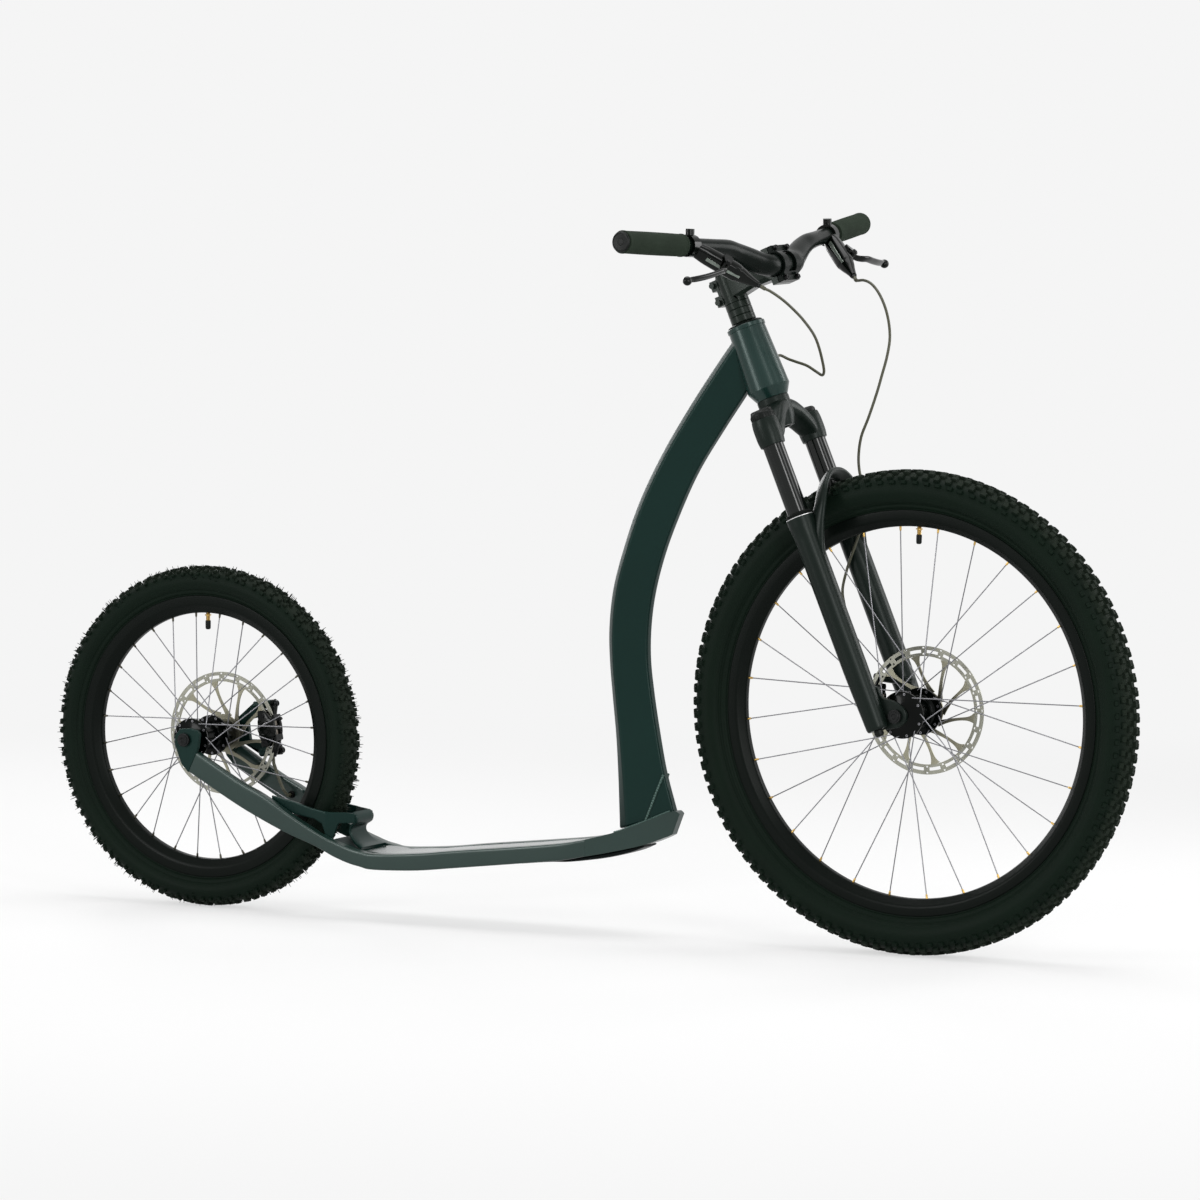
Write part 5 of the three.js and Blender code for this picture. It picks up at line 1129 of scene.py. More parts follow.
@dataclass(frozen=True)
class Fork:
    """The sprung fork, in the steering axis's own frame; sizes in millimetres."""

    leg_spread: float = 65
    leg_forward: float = 8
    stanchion_radius: float = 15
    stanchion_length: float = 256
    crown_foot: float = -69.7
    crown_reach: float = 14
    sleeve_height: float = 39
    sleeve_radius: float = 19.2
    travel: float = 100
    wiper_height: float = 6
    lower_radius: float = 17.8
    foot_radius: float = 15.6
    collar_radius: float = 19.6
    collar_height: float = 14
    foot_drop: float = 9
    bore_depth: float = 224
    head_height: float = 109.3
    steerer_bore: float = 12
    steerer_radius: float = 14.3
    steerer_stack: float = 76
    dropout_half: float = 50.3
    dropout_thickness: float = 8
    dropout_radius: float = 15.5
    arch_rise: float = 45
    arch_reach: float = 39.5

    @property
    def lowers_top(self) -> float:
        """The top of the lower legs."""
        return self.crown_foot - self.travel - self.wiper_height - 2 * GAP

    def leg(self, side: Side, height: float = 0) -> Matrix:
        """A place on the leg's own axis."""
        return Matrix.Translation(Vector((self.leg_forward, side * self.leg_spread, height)))

    def crown(self) -> None:
        """Builds the forged crown with its sleeves and steerer."""
        stations = [
            (0, -1.5, 1.6, 0.4, 0.05), (0.28, -1.25, 1.7, 0.5, 0.1), (0.54, -0.75, 1.8, 0.7, 0.26),
            (0.78, -0.45, 1.8, 0.93, 0.45), (0.96, -0.35, 1.55, 0.98, 0.5),
        ]
        mirrored = [(-s[0], *s[1:]) for s in reversed(stations[1:])]
        rings = []
        for out, rear, fore, low, high in Curve(mirrored + stations).uniform(48):
            x0, x1 = rear * self.crown_reach, fore * self.crown_reach
            z0, z1 = self.crown_foot * low, self.crown_foot * high
            middle = Vector(((x0 + x1) / 2, out * self.leg_spread, (z0 + z1) / 2))
            section = superellipse((x1 - x0) / 2, (z1 - z0) / 2, 2.8, 32)
            rings.append([middle + Vector((a, 0, b)) for a, b in section])
        shell = Shell(STEERING).rings(rings)
        high, wide, bore = self.sleeve_height, self.sleeve_radius, self.stanchion_radius + GAP
        sleeve = [
            (bore, 0), (wide * 0.9, 0), (wide * 0.935, 1), (wide * 0.985, high * 0.2), (wide, high * 0.35),
            (wide, high * 0.62), (wide * 0.985, high * 0.78), (wide * 0.93, high - 1), (wide * 0.9, high), (bore, high),
        ]
        for side in Side:
            shell.turned(sleeve, 56, self.leg(side, self.crown_foot))
        bore, tube, top = self.steerer_bore, self.steerer_radius, self.head_height + self.steerer_stack + GAP
        shell.turned(
            [(bore, -44), (17, -44), (21.5, -32), (23, -22), (23, -1.6), (22.2, -GAP), (19.6, -GAP), (19.6, 22),
             (tube, 41.6), (tube, top), (bore, top)],
            64,
        )
        stand_in("fork_crown", shell.mesh("crown"), SATIN_LEG, Body.STEERING, crease=40)

    def sliders(self) -> None:
        """Builds the stanchions and the wipers that clean them."""
        top = self.crown_foot + self.sleeve_height - GAP
        r, long, wall = self.stanchion_radius, self.stanchion_length, 2.5
        slider = [(r - wall, -long), (r - 0.6, -long), (r, 1 - long), (r, 0), (r - wall, 0)]
        lip = [(r + GAP, 0), (18.6, 0), (18.6, 1.6), (18.1, 2.0), (18.1, 2.6), (18.5, 3.0), (18.2, 4.2), (16.6, 5.6),
               (r + GAP + 0.3, 6), (r + GAP, 5.6)]
        for side in Side:
            tube = Shell(STEERING).turned(slider, 72, self.leg(side, top)).mesh("stanchion")
            stand_in(f"stanchion_{side.word}", tube, GLOSS, Body.STEERING)
            seal = Shell(STEERING).turned(lip, 64, self.leg(side, self.lowers_top + GAP)).mesh("wiper")
            stand_in(f"wiper_{side.word}", seal, SOFT, Body.LOWER_FORK)

    def knobs(self) -> None:
        """Builds the lockout knob, the air cap and the rebound knob."""
        base = self.crown_foot + self.sleeve_height + GAP
        seat, rim, wide = self.leg(Side.RIGHT, base), 16.8, self.sleeve_radius * 0.8
        dome = [(0, 0), (rim - 0.5, 0), (rim, 0.8), (rim, 6.6), (rim - 0.8, 8.4), (rim * 0.86, 10.2), (rim * 0.8, 10.9),
                (0, 11)]
        knob = Shell(STEERING).turned(dome, 64, seat)
        for k in range(24):
            c, s = math.cos(TURN * k / 24), math.sin(TURN * k / 24)
            spot = seat @ Vector(((rim - 0.1) * c, (rim - 0.1) * s, 0.8))
            knob.rod(spot, spot + Vector((0, 0, 5.6)), 0.7, None, 8)
        knob.block(self.leg(Side.RIGHT, base + 9), (rim * 1.8, rim * 0.36, 5.2), 1.05)
        stand_in("lockout_knob", knob.mesh("lockout"), KNOB, Body.LOCKOUT)
        lid = [(0, 0), (wide - 0.4, 0), (wide, 0.6), (wide, 4.6), (wide * 0.9, 6.8), (wide * 0.82, 7.6),
               (wide * 0.55, 7.7), (wide * 0.5, 6.9), (0, 6.9)]
        cap = Shell(STEERING).turned(lid, 56, self.leg(Side.LEFT, base))
        stand_in("air_cap", cap.mesh("air_cap"), KNOB, Body.STEERING)
        seat = self.leg(Side.RIGHT, AXLE_DOWN - self.foot_drop - GAP)
        bell = [(0, -9), (4.4, -9), (5.4, -8.2), (6.4, -6.2), (6.5, -0.8), (6.1, 0), (0, 0)]
        adjuster = Shell(STEERING).turned(bell, 36, seat)
        for k in range(12):
            spot = seat @ Vector((6.2 * math.cos(TURN * k / 12), 6.2 * math.sin(TURN * k / 12), -6))
            adjuster.rod(spot, spot + Vector((0, 0, 5)), 0.5, None, 6)
        stand_in("rebound_knob", adjuster.mesh("rebound"), KNOB, Body.REBOUND)

    def arch(self, shell: Shell) -> None:
        """Adds the brace that joins the lower legs in front of the tyre."""
        shape = [(1, 0.05, -2.0), (1, 0.13, -1.45), (0.985, 0.28, -0.95), (0.925, 0.53, -0.38), (0.8, 0.8, 0.17),
                 (0.58, 0.95, 0.66), (0.3, 1, 0.93), (0, 1, 1)]
        forward, spread, top = self.leg_forward, self.leg_spread, self.lowers_top
        right = [
            (forward + reach * self.arch_reach, -out * spread, top + rise * self.arch_rise)
            for out, reach, rise in shape
        ]
        left = [(x, -y, z) for x, y, z in reversed(right[:-1])]

        def half_width(share: float) -> float:
            """Half the band's width: wider towards the legs, drawn in at its roots."""
            way = abs(2 * share - 1)
            return 11 + 2.6 * way**3 - 6.5 * way**16

        shell.swept(Curve(right + left).even(96), half_width, 28, Vector((0.86, 0, 0.5)), 0.45, 2.4)

    def dropout_outline(self) -> list[tuple[float, float]]:
        """The axle plates' outline beside the wheel."""
        r, x, down, leg = self.dropout_radius, FORK_OFFSET, AXLE_DOWN, self.leg_forward
        shape = [
            (leg, down + r * 3.4), (leg + r * 1.1, down + r * 3.1), (x - r * 0.6, down + r * 2.05),
            (x + r * 0.35, down + r * 1.3), (x + r * 0.92, down + r * 0.45), (x + r, down - r * 0.2),
            (x + r * 0.7, down - r * 0.75), (x, down - r), (x - r * 1.2, down - r * 0.8),
            (leg, down - self.foot_drop * 0.9),
        ]
        smooth = Curve([(a, 0, b) for a, b in shape]).uniform(54)
        return [(p.x, p.z) for p in smooth]

    def lowers(self) -> None:
        """Builds the lower legs with their arch, axle plates and brake posts."""
        foot, top = AXLE_DOWN - self.foot_drop, self.lowers_top
        collar_end = top - self.collar_height
        knee = foot + (collar_end - foot) * 0.3
        bore, floor = self.stanchion_radius + GAP, top - self.bore_depth
        shell = Shell(STEERING)
        end, tube, wide = self.foot_radius, self.lower_radius, self.collar_radius
        leg = [
            (0, foot), (end * 0.86, foot), (end * 0.95, foot + 1.4), (end, foot + 5), (end + 0.4, foot + 20),
            (tube - 0.6, knee - 30), (tube, knee), (tube, collar_end - 20), (tube + 0.5, collar_end - 10),
            (wide - 0.4, collar_end - 1), (wide, collar_end + 1.5), (wide, top - 1.2), (wide - 1, top), (bore, top),
            (bore, floor), (0, floor),
        ]
        for side in Side:
            shell.turned(leg, 72, self.leg(side))
        self.arch(shell)
        half = self.dropout_half
        outline = self.dropout_outline()
        plates = Shell(STEERING)
        for side in Side:
            a, b = sorted((side * half, side * (half + self.dropout_thickness)))
            plates.slab(outline, a, b)
        middle = FRONT_DISC + POST_OFFSET
        post, inner, half_web = 6.5, 29, 4.55
        far, low = CALIPER_RADIUS - CALIPER_HEIGHT / 2 - 2 * GAP, POST_SPACING / 2 + post
        boss = Shell(STEERING @ FORK_BRAKE)
        web = [(inner - post, low / 2), (inner, low), (far, low), (far, low - 2 * post), (inner + 2 * post, post),
               (inner + post, 0)]
        boss.slab(web, middle - half_web, middle + half_web)
        for across in (-POST_SPACING / 2, POST_SPACING / 2):
            boss.rod(Vector((inner, middle, across)), Vector((CALIPER_RADIUS, middle, across)), post, None, 28)
        mesh = plates.mesh("plates")
        cut_axle(mesh, STEERING @ FORK_AXLE)
        rounded(mesh, 1.6, 30)
        # Thin bright steel rings at the collars' top edges: a painted highlight along each edge.
        collar_highlight = Shell(STEERING)
        ring = [(wide - 1.3, -0.8), (wide - 0.1, -1.3), (wide + 0.15, -0.9), (wide - 0.2, -0.2), (wide - 0.9, 0.15),
                (wide - 1.4, 0.1)]
        for side in Side:
            collar_highlight.turned(ring, 72, self.leg(side, top))
        piece("fork_collar_highlight_rings", collar_highlight.mesh("rings"), STEEL, Body.LOWER_FORK)
        stand_in("fork_lowers", shell.mesh("lowers"), SATIN_LEG, Body.LOWER_FORK, crease=34)
        piece("fork_axle_plates", mesh, SATIN_LEG, Body.LOWER_FORK)
        posts = boss.mesh("posts")
        rounded(posts, 0.8, 40)
        piece("fork_brake_posts", posts, SATIN_LEG, Body.LOWER_FORK)

    def axle(self) -> None:
        """Builds the front axle's heads with their sockets."""
        softened("front_axle", BOLT, Body.LOWER_FORK, 0.9)
        reach = self.dropout_half + self.dropout_thickness + GAP + AXLE_HEAD
        axle_sockets("front_axle_sockets", STEERING @ FORK_AXLE, reach, Body.LOWER_FORK)

    def build(self) -> None:
        """Builds every piece of the fork."""
        self.crown()
        self.sliders()
        self.knobs()
        self.lowers()
        self.axle()


def cut_axle(mesh: bpy.types.Mesh, centre: Vector, radius: float = 6.4) -> None:
    """Cuts a round hole along Y through a mesh, in place."""
    reach = SIDEWAYS * 200
    carve(mesh, Shell(Matrix.Translation(centre)).rod(-reach, reach, radius, None, 40).mesh("tool"))


def carve(mesh: bpy.types.Mesh, tool: bpy.types.Mesh) -> None:
    """Takes a tool's volume out of a mesh.

    Args:
        mesh: The mesh, changed in place.
        tool: The closed tool, dropped afterwards.
    """
    target, cutter = (bpy.data.objects.new("carve", m) for m in (mesh, tool))
    for made in (target, cutter):
        bpy.context.scene.collection.objects.link(made)
    step = target.modifiers.new("cut", "BOOLEAN")
    step.operation, step.solver, step.object = "DIFFERENCE", "EXACT", cutter
    bpy.context.view_layer.update()
    done = target.evaluated_get(bpy.context.evaluated_depsgraph_get()).to_mesh()
    body = bmesh.new()
    body.from_mesh(done)
    body.to_mesh(mesh)
    body.free()
    for made in (target, cutter):
        bpy.data.objects.remove(made)
    bpy.data.meshes.remove(tool)


def axle_sockets(name: str, centre: Vector, reach: float, body: Body) -> None:
    """Adds a raised ring with a six-sided socket on each end of an axle.

    Args:
        name: The piece's name.
        centre: The axle's middle.
        reach: How far out the axle's heads end.
        body: The group that it moves with.
    """
    shell = Shell()
    for side in Side:
        place = facing(centre + SIDEWAYS * side * (reach - 0.2), SIDEWAYS * side)
        shell.turned([(3.2, 0), (7.4, 0), (7.2, 0.9), (6.6, 1.3), (3.9, 1.3), (3.2, 0.5)], 36, place)
    piece(name, shell.mesh("sockets"), BOLT, body)


@dataclass(frozen=True)
class LeverFrame:
    """The places and directions of one brake lever: clamp, bar, cylinder's run and the blade's axes."""

    at: Vector
    out: Vector
    run: Vector
    outward: Vector
    away: Vector
    hinge: Vector
    pivot: Vector


@dataclass(frozen=True)
class Cockpit:
    """Stem, bar, grips and brake levers, in the steering axis's own frame; sizes in millimetres."""

    stem_length: float = 84.3
    stem_height: float = 42
    stem_rise: float = 2.9
    bar_radius: float = 15.9
    bar_end_radius: float = 11.1
    bar_half: float = 365
    bar_sweep: float = 35.5
    bar_rise: float = 62
    grip_length: float = 134
    grip_radius: float = 16
    spacer_from: float = 114.4
    spacer_stack: float = 29.5
    spacer_radius: float = 18
    lever_station: float = 212
    lever_run: tuple[float, float, float] = (44.8, 61.3, 75.8)
    blade_length: float = 111.3
    blade_width: float = 10
    blade_thickness: float = 6
    bar_shape: tuple[tuple[float, float, float], ...] = (
        (0, 0, 0), (0.04, 0, 0), (0.07, 0, 0), (0.1, 0.01, 0.01), (0.145, 0.132, 0.101), (0.2055, 0.222, 0.249),
        (0.274, 0.267, 0.402), (0.33, 0.243, 0.504), (0.3836, 0.265, 0.555), (0.581, 0.5, 0.697), (1, 1, 1),
    )

    @property
    def stem_from(self) -> float:
        """Where the stem sits on the spacers."""
        return self.spacer_from + self.spacer_stack + GAP

    @property
    def bar_centre(self) -> Vector:
        """The middle of the bar's clamp."""
        return Vector((self.stem_length, 0, self.stem_from + self.stem_height / 2 + self.stem_rise))

    def bar_half_curve(self, side: Side) -> Curve:
        """One half of the bar's centre line."""
        centre = self.bar_centre
        return Curve([
            (centre.x - back * self.bar_sweep, side * out * self.bar_half, centre.z + up * self.bar_rise)
            for out, back, up in self.bar_shape
        ])

    def bar_at(self, distance: float, side: Side) -> tuple[Vector, Vector]:
        """The centre line at a distance from the middle plane.

        Args:
            distance: The distance, along Y.
            side: Which half.

        Returns:
            The point and the direction outward.
        """
        curve = self.bar_half_curve(side)
        low, high = 0.0, 1.0
        for _ in range(30):
            middle = (low + high) / 2
            low, high = (middle, high) if abs(curve.along(middle).y) < distance else (low, middle)
        behind, ahead = curve.along(max(low - 1e-3, 0)), curve.along(min(low + 1e-3, 1))
        return curve.along(low), (ahead - behind).normalized()

    def bar(self) -> None:
        """Builds the swept, tapering handlebar."""
        right, left = (self.bar_half_curve(side) for side in Side)
        whole = Curve([*reversed(right.points), *left.points[1:]])

        def radius(share: float) -> float:
            """Thick at the clamp, thin at the grips."""
            thinned = eased(clamped((abs(2 * share - 1) - 0.17) / 0.28))
            return self.bar_radius + (self.bar_end_radius - self.bar_radius) * thinned

        shell = Shell(STEERING).swept(whole.even(140), radius, 36)
        stand_in("handlebar", shell.mesh("bar"), ALLOY, Body.STEERING, crease=50)

    def grips(self) -> None:
        """Builds the grips and the plugs in the bar's ends."""
        for side in Side:
            start, _ = self.bar_at(self.bar_half - self.grip_length, side)
            end, _ = self.bar_at(self.bar_half - GAP, side)
            run = end - start
            place = STEERING @ facing(start, run.normalized())
            long, r, bore = run.length, self.grip_radius, self.bar_end_radius + 2 * GAP
            profile = [(bore, 0), (r - 0.8, 0), (r + 0.1, 0.8), (r + 0.1, 2.6), (r - 0.9, 4.0)]
            ribs = 30
            step = (long - 12) / ribs
            for k in range(ribs):
                at = 5 + (long - 12) * k / ribs
                swell = r + 0.35 * math.sin(math.pi * k / ribs)
                profile += [(swell - 0.75, at + step * 0.2), (swell - 0.4, at + step * 0.5),
                            (swell - 0.75, at + step * 0.8)]
            profile += [(r - 0.7, long - 6), (r, long - 3), (r, long - 0.8), (r - 0.8, long), (bore, long)]
            mesh = Shell(place).turned(profile, 56).mesh("grip")
            stand_in(f"grip_{side.word}", mesh, GRIP, Body.STEERING, crease=50)
            centre, outward = self.bar_at(self.bar_half, side)
            plug = Shell(STEERING @ facing(centre, outward))
            plug.turned([(0, -18), (7, -18), (7, GAP), (13.6, GAP), (14.5, 1.1), (14.3, 2.6), (13.2, 3.7), (11.6, 4.0),
                         (11.2, 3.4), (5.2, 3.0), (4.6, 3.6), (0, 3.8)], 48)
            stand_in(f"bar_plug_{side.word}", plug.mesh("plug"), KNOB, Body.STEERING)

    def stem(self) -> None:
        """Builds the stem, its face plate and bolts, the spacers and the top cap."""
        softened("stem", STEM_BLACK, Body.STEERING, 1.2, 30)
        softened("stem_faceplate", ALLOY, Body.STEERING, 1.0, 30)
        shell = Shell(STEERING)
        each = self.spacer_stack / 3
        inner, r, groove = 14.6, self.spacer_radius, 0.8
        profile = [(inner, self.spacer_from)]
        for k in range(3):
            at = self.spacer_from + k * each
            profile += [(r - groove, at), (r, at + groove), (r, at + each - groove), (r - groove, at + each)]
        shell.turned([*profile, (inner, self.spacer_from + self.spacer_stack)], 64)
        stand_in("stem_spacers", shell.mesh("spacers"), STEM_BLACK, Body.STEERING, crease=30)
        base = self.stem_from + self.stem_height + 2 * GAP
        cap = Shell(STEERING).turned(
            [(0, base), (16.6, base), (17, base + 0.6), (17, base + 2.2), (15.6, base + 3.6), (13.8, base + 4),
             (5.2, base + 3.8), (4.6, base + 2.6), (0, base + 2.6)], 64)
        stand_in("stem_top_cap", cap.mesh("cap"), ALLOY, Body.STEERING)
        bolts = Shell(STEERING)
        centre = self.bar_centre
        for up in (-1, 1):
            for side in Side:
                spot = centre + Vector((8.0, side * 17.5, up * 22.4))
                bolts.rod(spot, spot + Vector((4.2, 0, 0)), 3.9, 3.6, 24)
                bolts.turned([(1.9, 4.2), (3.4, 4.2), (3.0, 4.9), (2.1, 4.9)], 24, facing(spot, FORWARD))
        crown = Vector((0, 0, base + 2.6))
        bolts.turned([(0, 0), (4.0, 0), (4.0, 1.2), (3.4, 1.7), (0, 1.7)], 24, Matrix.Translation(crown))
        piece("stem_bolts", bolts.mesh("bolts"), BOLT, Body.STEERING)

    def lever_frame(self, side: Side) -> LeverFrame:
        """The places and directions of one side's brake lever."""
        at, out = self.bar_at(self.lever_station, side)
        forward, inboard, drop = self.lever_run
        run = Vector((forward, -side * inboard, -drop))
        outward = Vector((-0.121, side * 0.978, -0.171)).normalized()
        down = Vector((0.475, 0, -0.880))
        away = (down - outward * down.dot(outward)).normalized()
        hinge = outward.cross(away).normalized() * -side
        across = hinge.cross(run).normalized() * side
        pivot = at + run * 0.515 + across * 14.7 + hinge * 9
        return LeverFrame(at, out, run, outward, away, hinge, pivot)

    def blade(self, side: Side) -> None:
        """Builds the curved lever blade with its pivot barrel and rounded tip."""
        f = self.lever_frame(side)
        shape = [(0, 0, 0, 0.8), (0.09, 0.045, 0.01, 0.9), (0.18, 0.075, 0.04, 1), (0.28, 0.08, 0.063, 1),
                 (0.45, 0.068, 0.063, 1), (0.62, 0.05, 0.063, 1), (0.81, 0.018, 0.063, 1), (0.93, -0.009, 0.063, 0.9),
                 (1, -0.014, 0.063, 0.8)]
        rings = []
        for out, off, up, size in Curve(shape).uniform(64):
            centre = f.pivot + (f.outward * out + f.away * off + f.hinge * up) * self.blade_length
            section = superellipse(self.blade_width / 2 * size, self.blade_thickness / 2 * size, 2.4, 20)
            rings.append([centre + f.hinge * a + f.away * b for a, b in section])
        shell = Shell(STEERING).rings(rings)
        tip = f.pivot + (f.outward - f.away * 0.014 + f.hinge * 0.063) * self.blade_length
        ball, steps = 6.4, 16
        angles = [math.pi * k / steps for k in range(1, steps)]
        profile = [(0, -ball), *[(ball * math.sin(a), -ball * math.cos(a)) for a in angles], (0, ball)]
        shell.turned(profile, 28, facing(tip, f.hinge))
        half = self.blade_width / 2
        shell.rod(f.pivot - f.hinge * half, f.pivot + f.hinge * half, 4.7, None, 28)
        body = Body.RIGHT_LEVER if side is Side.RIGHT else Body.LEFT_LEVER
        stand_in(f"brake_lever_{side.word}", shell.mesh("blade"), LACQUER, body, crease=40)

    def master(self, side: Side) -> None:
        """Builds the brake master cylinder with its cover, its painted highlight strips, pivot pin and clamp bolts."""
        softened(f"brake_master_{side.word}", LACQUER, Body.STEERING, 0.7, 34)
        f = self.lever_frame(side)
        forward = f.run.normalized()
        flat = (f.hinge - forward * f.hinge.dot(forward)).normalized()
        deep = forward.cross(flat)
        cover, highlight_strips, fittings = Shell(STEERING), Shell(STEERING), Shell(STEERING)
        barrel = [(-0.03, 5.5, 4.6), (0.03, 8.6, 6.8), (0.16, 11.6, 8.6), (0.36, 13.0, 9.6), (0.58, 13.2, 9.6),
                  (0.76, 11.0, 8.4), (0.89, 7.6, 6.4), (0.98, 5.4, 5.0), (1.03, 4.6, 4.4)]
        rings = []
        for share, wide, high in Curve(barrel).uniform(56):
            middle = f.at + f.run * share
            rings.append([middle + flat * a + deep * b for a, b in superellipse(wide, high, 2.7, 28)])
        cover.rings(rings)
        # Pale raised strips along both faces of the cover: painted highlight lines.
        for sign in (1, -1):
            face = deep * sign * side
            middle = [f.at + f.run * share + face * lift for share, lift in ((0.26, 9.0), (0.5, 9.9), (0.76, 8.2))]
            highlight_strips.swept(Curve(middle).even(16), lambda s: 2.7 - 0.7 * s, 16, flat, 0.34, 3.0)
        for way in (-1, 1):
            spot = f.pivot + f.hinge * way * 8.3
            fittings.rod(spot, spot + f.hinge * way * 1.4, 3.4, 2.9, 20)
        upright = Vector((math.cos(HEAD_ANGLE), 0, math.sin(HEAD_ANGLE)))
        raised = (upright - f.out * upright.dot(f.out)).normalized()
        for away in (-1, 1):
            spot = f.at + raised * 19.0 + f.out * away * 3.9
            fittings.rod(spot, spot + raised * 2.2, 2.5, 2.3, 18)
        nozzle = f.at + f.run * 1.0
        fittings.rod(nozzle, nozzle + forward * 7.5, 4.3, 3.5, 6)
        piece(f"brake_cover_{side.word}", cover.mesh("cover"), LACQUER, Body.STEERING, crease=40)
        piece(f"brake_lid_{side.word}", highlight_strips.mesh("lid"), HIGHLIGHT_STRIP, Body.STEERING, crease=40)
        piece(f"brake_fittings_{side.word}", fittings.mesh("fittings"), BOLT, Body.STEERING)

    def build(self) -> None:
        """Builds every piece of the cockpit."""
        self.stem()
        self.bar()
        self.grips()
        for side in Side:
            self.master(side)
            self.blade(side)


# Frame


@dataclass(frozen=True)
class MainFrame:
    """The welded frame: curved tube, deck, rear rails, yoke and head tube; sizes in millimetres."""

    deck_length: float = 782
    deck_half: float = 56
    tube_half: float = 22
    tube_back: float = 10.5
    tube_front: float = 7
    tube_crease: float = 0.2
    hub_half: float = 60
    dropout_thickness: float = 7
    rail_shape: tuple[tuple[float, ...], ...] = (
        (0.0256, 0.928, 0.0077, 0.812, 1.196), (0.1138, 0.774, 0.0972, 0.656, 1.155),
        (0.1633, 0.702, 0.1483, 0.576, 1.13), (0.2251, 0.588, 0.211, 0.49, 1.095),
        (0.2839, 0.49, 0.2737, 0.42, 1.06), (0.3197, 0.446, 0.3159, 0.36, 1.035),
        (0.3632, 0.408, 0.3632, 0.318, 1.015), (0.4092, 0.398, 0.4092, 0.304, 1), (0.4859, 0.416, 0.4872, 0.316, 1),
        (0.5639, 0.446, 0.5639, 0.344, 1), (0.6918, 0.49, 0.6918, 0.392, 1), (0.7852, 0.526, 0.7864, 0.428, 0.93),
        (0.8312, 0.554, 0.8312, 0.456, 0.84),
    )
    nose_shape: tuple[tuple[float, ...], ...] = (
        (0.8312, 0.554, 0.8312, 0.456, 0.84), (0.879, 0.594, 0.8747, 0.484, 0.66), (0.9353, 0.661, 0.9348, 0.53, 0.42),
        (0.991, 0.728, 0.9821, 0.588, 0.17), (1, 0.713, 0.985, 0.594, 0.13),
    )
    tube_shape: tuple[tuple[float, ...], ...] = (
        (0, 0, 0.403, 0.038), (-0.013, 0.119, 0.323, 0.124), (-0.028, 0.2, 0.265, 0.216), (-0.053, 0.279, 0.225, 0.293),
        (-0.074, 0.353, 0.201, 0.36), (-0.079, 0.422, 0.204, 0.427), (-0.05, 0.505, 0.235, 0.498),
        (0.027, 0.592, 0.307, 0.58), (0.143, 0.69, 0.412, 0.663), (0.314, 0.794, 0.56, 0.758),
        (0.524, 0.898, 0.754, 0.851), (0.744, 0.996, 0.922, 0.926), (0.894, 1.059, 1.034, 0.979),
    )
    foot_share: tuple[float, float] = (0.8783, 0.609)
    head_joint: float = 60
    seam: tuple[tuple[float, float], ...] = ((0.323, 0.1196), (0.2085, 0.019))
    head_profile: tuple[tuple[float, float], ...] = (
        (20.5, 0), (22.4, 0), (23, 0.5), (29.9, 13.2), (30.5, 14.4), (30.3, 17), (26.4, 101.8), (26.2, 103.3),
        (27.1, 103.5), (27.5, 104), (27.5, 108.6), (26.9, 109.3), (23, 109.3), (23, 102.3), (19.8, 102.3), (23.1, 21.8),
        (27.3, 21.8), (27.3, 13.8), (20.5, 13.8),
    )

    def spot(self, share_x: float, share_z: float) -> tuple[float, float]:
        """A side view place from shares of the deck's length and the axle's height."""
        return share_x * self.deck_length - HALF_LENGTH, share_z * REAR_RADIUS

    def rail(self, side: Side) -> None:
        """Builds one side rail with rounded corners."""
        rows = len(self.rail_shape)
        width = [13 + 5 * min(1, row / (rows / 2)) for row in range(rows)]
        stations = [(*shape, wide) for shape, wide in zip(self.rail_shape, width)]
        rings = []
        for top_x, top_z, low_x, low_z, outer, wide in Curve(stations).uniform(6 * (rows - 1)):
            (ax, az), (bx, bz) = self.spot(top_x, top_z), self.spot(low_x, low_z)
            top, low = Vector((ax, 0, az)), Vector((bx, 0, bz))
            middle = (top + low) / 2 + SIDEWAYS * side * (outer * self.deck_half - wide / 2)
            up = (top - low) / 2
            section = superellipse(1, 1, 7.0, 36)
            rings.append([middle + up * a + SIDEWAYS * (side * b * wide / 2) for a, b in section])
        mesh = Shell().rings(rings).mesh("rail")
        # The rail takes the lighter copy of the frame paint, painted light on its side.
        stand_in(f"deck_rail_{side.word}", mesh, LIT_RAIL_PAINT, Body.FRAME, crease=40)

    def nose(self) -> None:
        """Builds the deck's nose."""
        rings = []
        for top_x, top_z, low_x, low_z, outer in Curve(self.nose_shape).uniform(24):
            (ax, az), (bx, bz) = self.spot(top_x, top_z), self.spot(low_x, low_z)
            half = outer * self.deck_half
            corners = ((ax, -half, az), (bx, -half, bz), (bx, half, bz), (ax, half, az))
            rings.append([Vector(corner) for corner in corners])
        mesh = Shell().rings(rings).mesh("nose")
        rounded(mesh, 1.8, 30)
        # The nose takes the rails' lighter copy of the frame paint, painted light, so that no seam shows.
        stand_in("deck_nose", mesh, LIT_RAIL_PAINT, Body.FRAME, crease=34)

    def tube_frame(self) -> tuple[Vector, float, float]:
        """The curved tube's foot, reach and rise."""
        x, z = self.spot(*self.foot_share)
        foot = Vector((x, 0, z))
        head = HEAD_FOOT + AXIS_UP * self.head_joint
        return foot, head.x - foot.x, head.z - foot.z

    def tube_lines(self, steps: int) -> list[tuple[Vector, Vector]]:
        """Rear and front points of the curved tube's side view."""
        foot, reach, rise = self.tube_frame()
        rear, front = (
            Curve([(foot.x + row[first] * reach, 0, foot.z + row[first + 1] * rise) for row in self.tube_shape])
            for first in (0, 2)
        )
        return list(zip(rear.uniform(steps), front.uniform(steps)))

    def tube_side(self, x: float, z: float) -> float:
        """The half width of the curved tube's side at a place in the side view.

        Args:
            x: Forward.
            z: Up.

        Returns:
            The distance from the middle plane.
        """

        def miss(pair: tuple[Vector, Vector]) -> float:
            """How far the place lies from the line between a rear and a front point."""
            start, run = pair[0], pair[1] - pair[0]
            return abs(run.x * (z - start.z) - run.z * (x - start.x)) / run.length

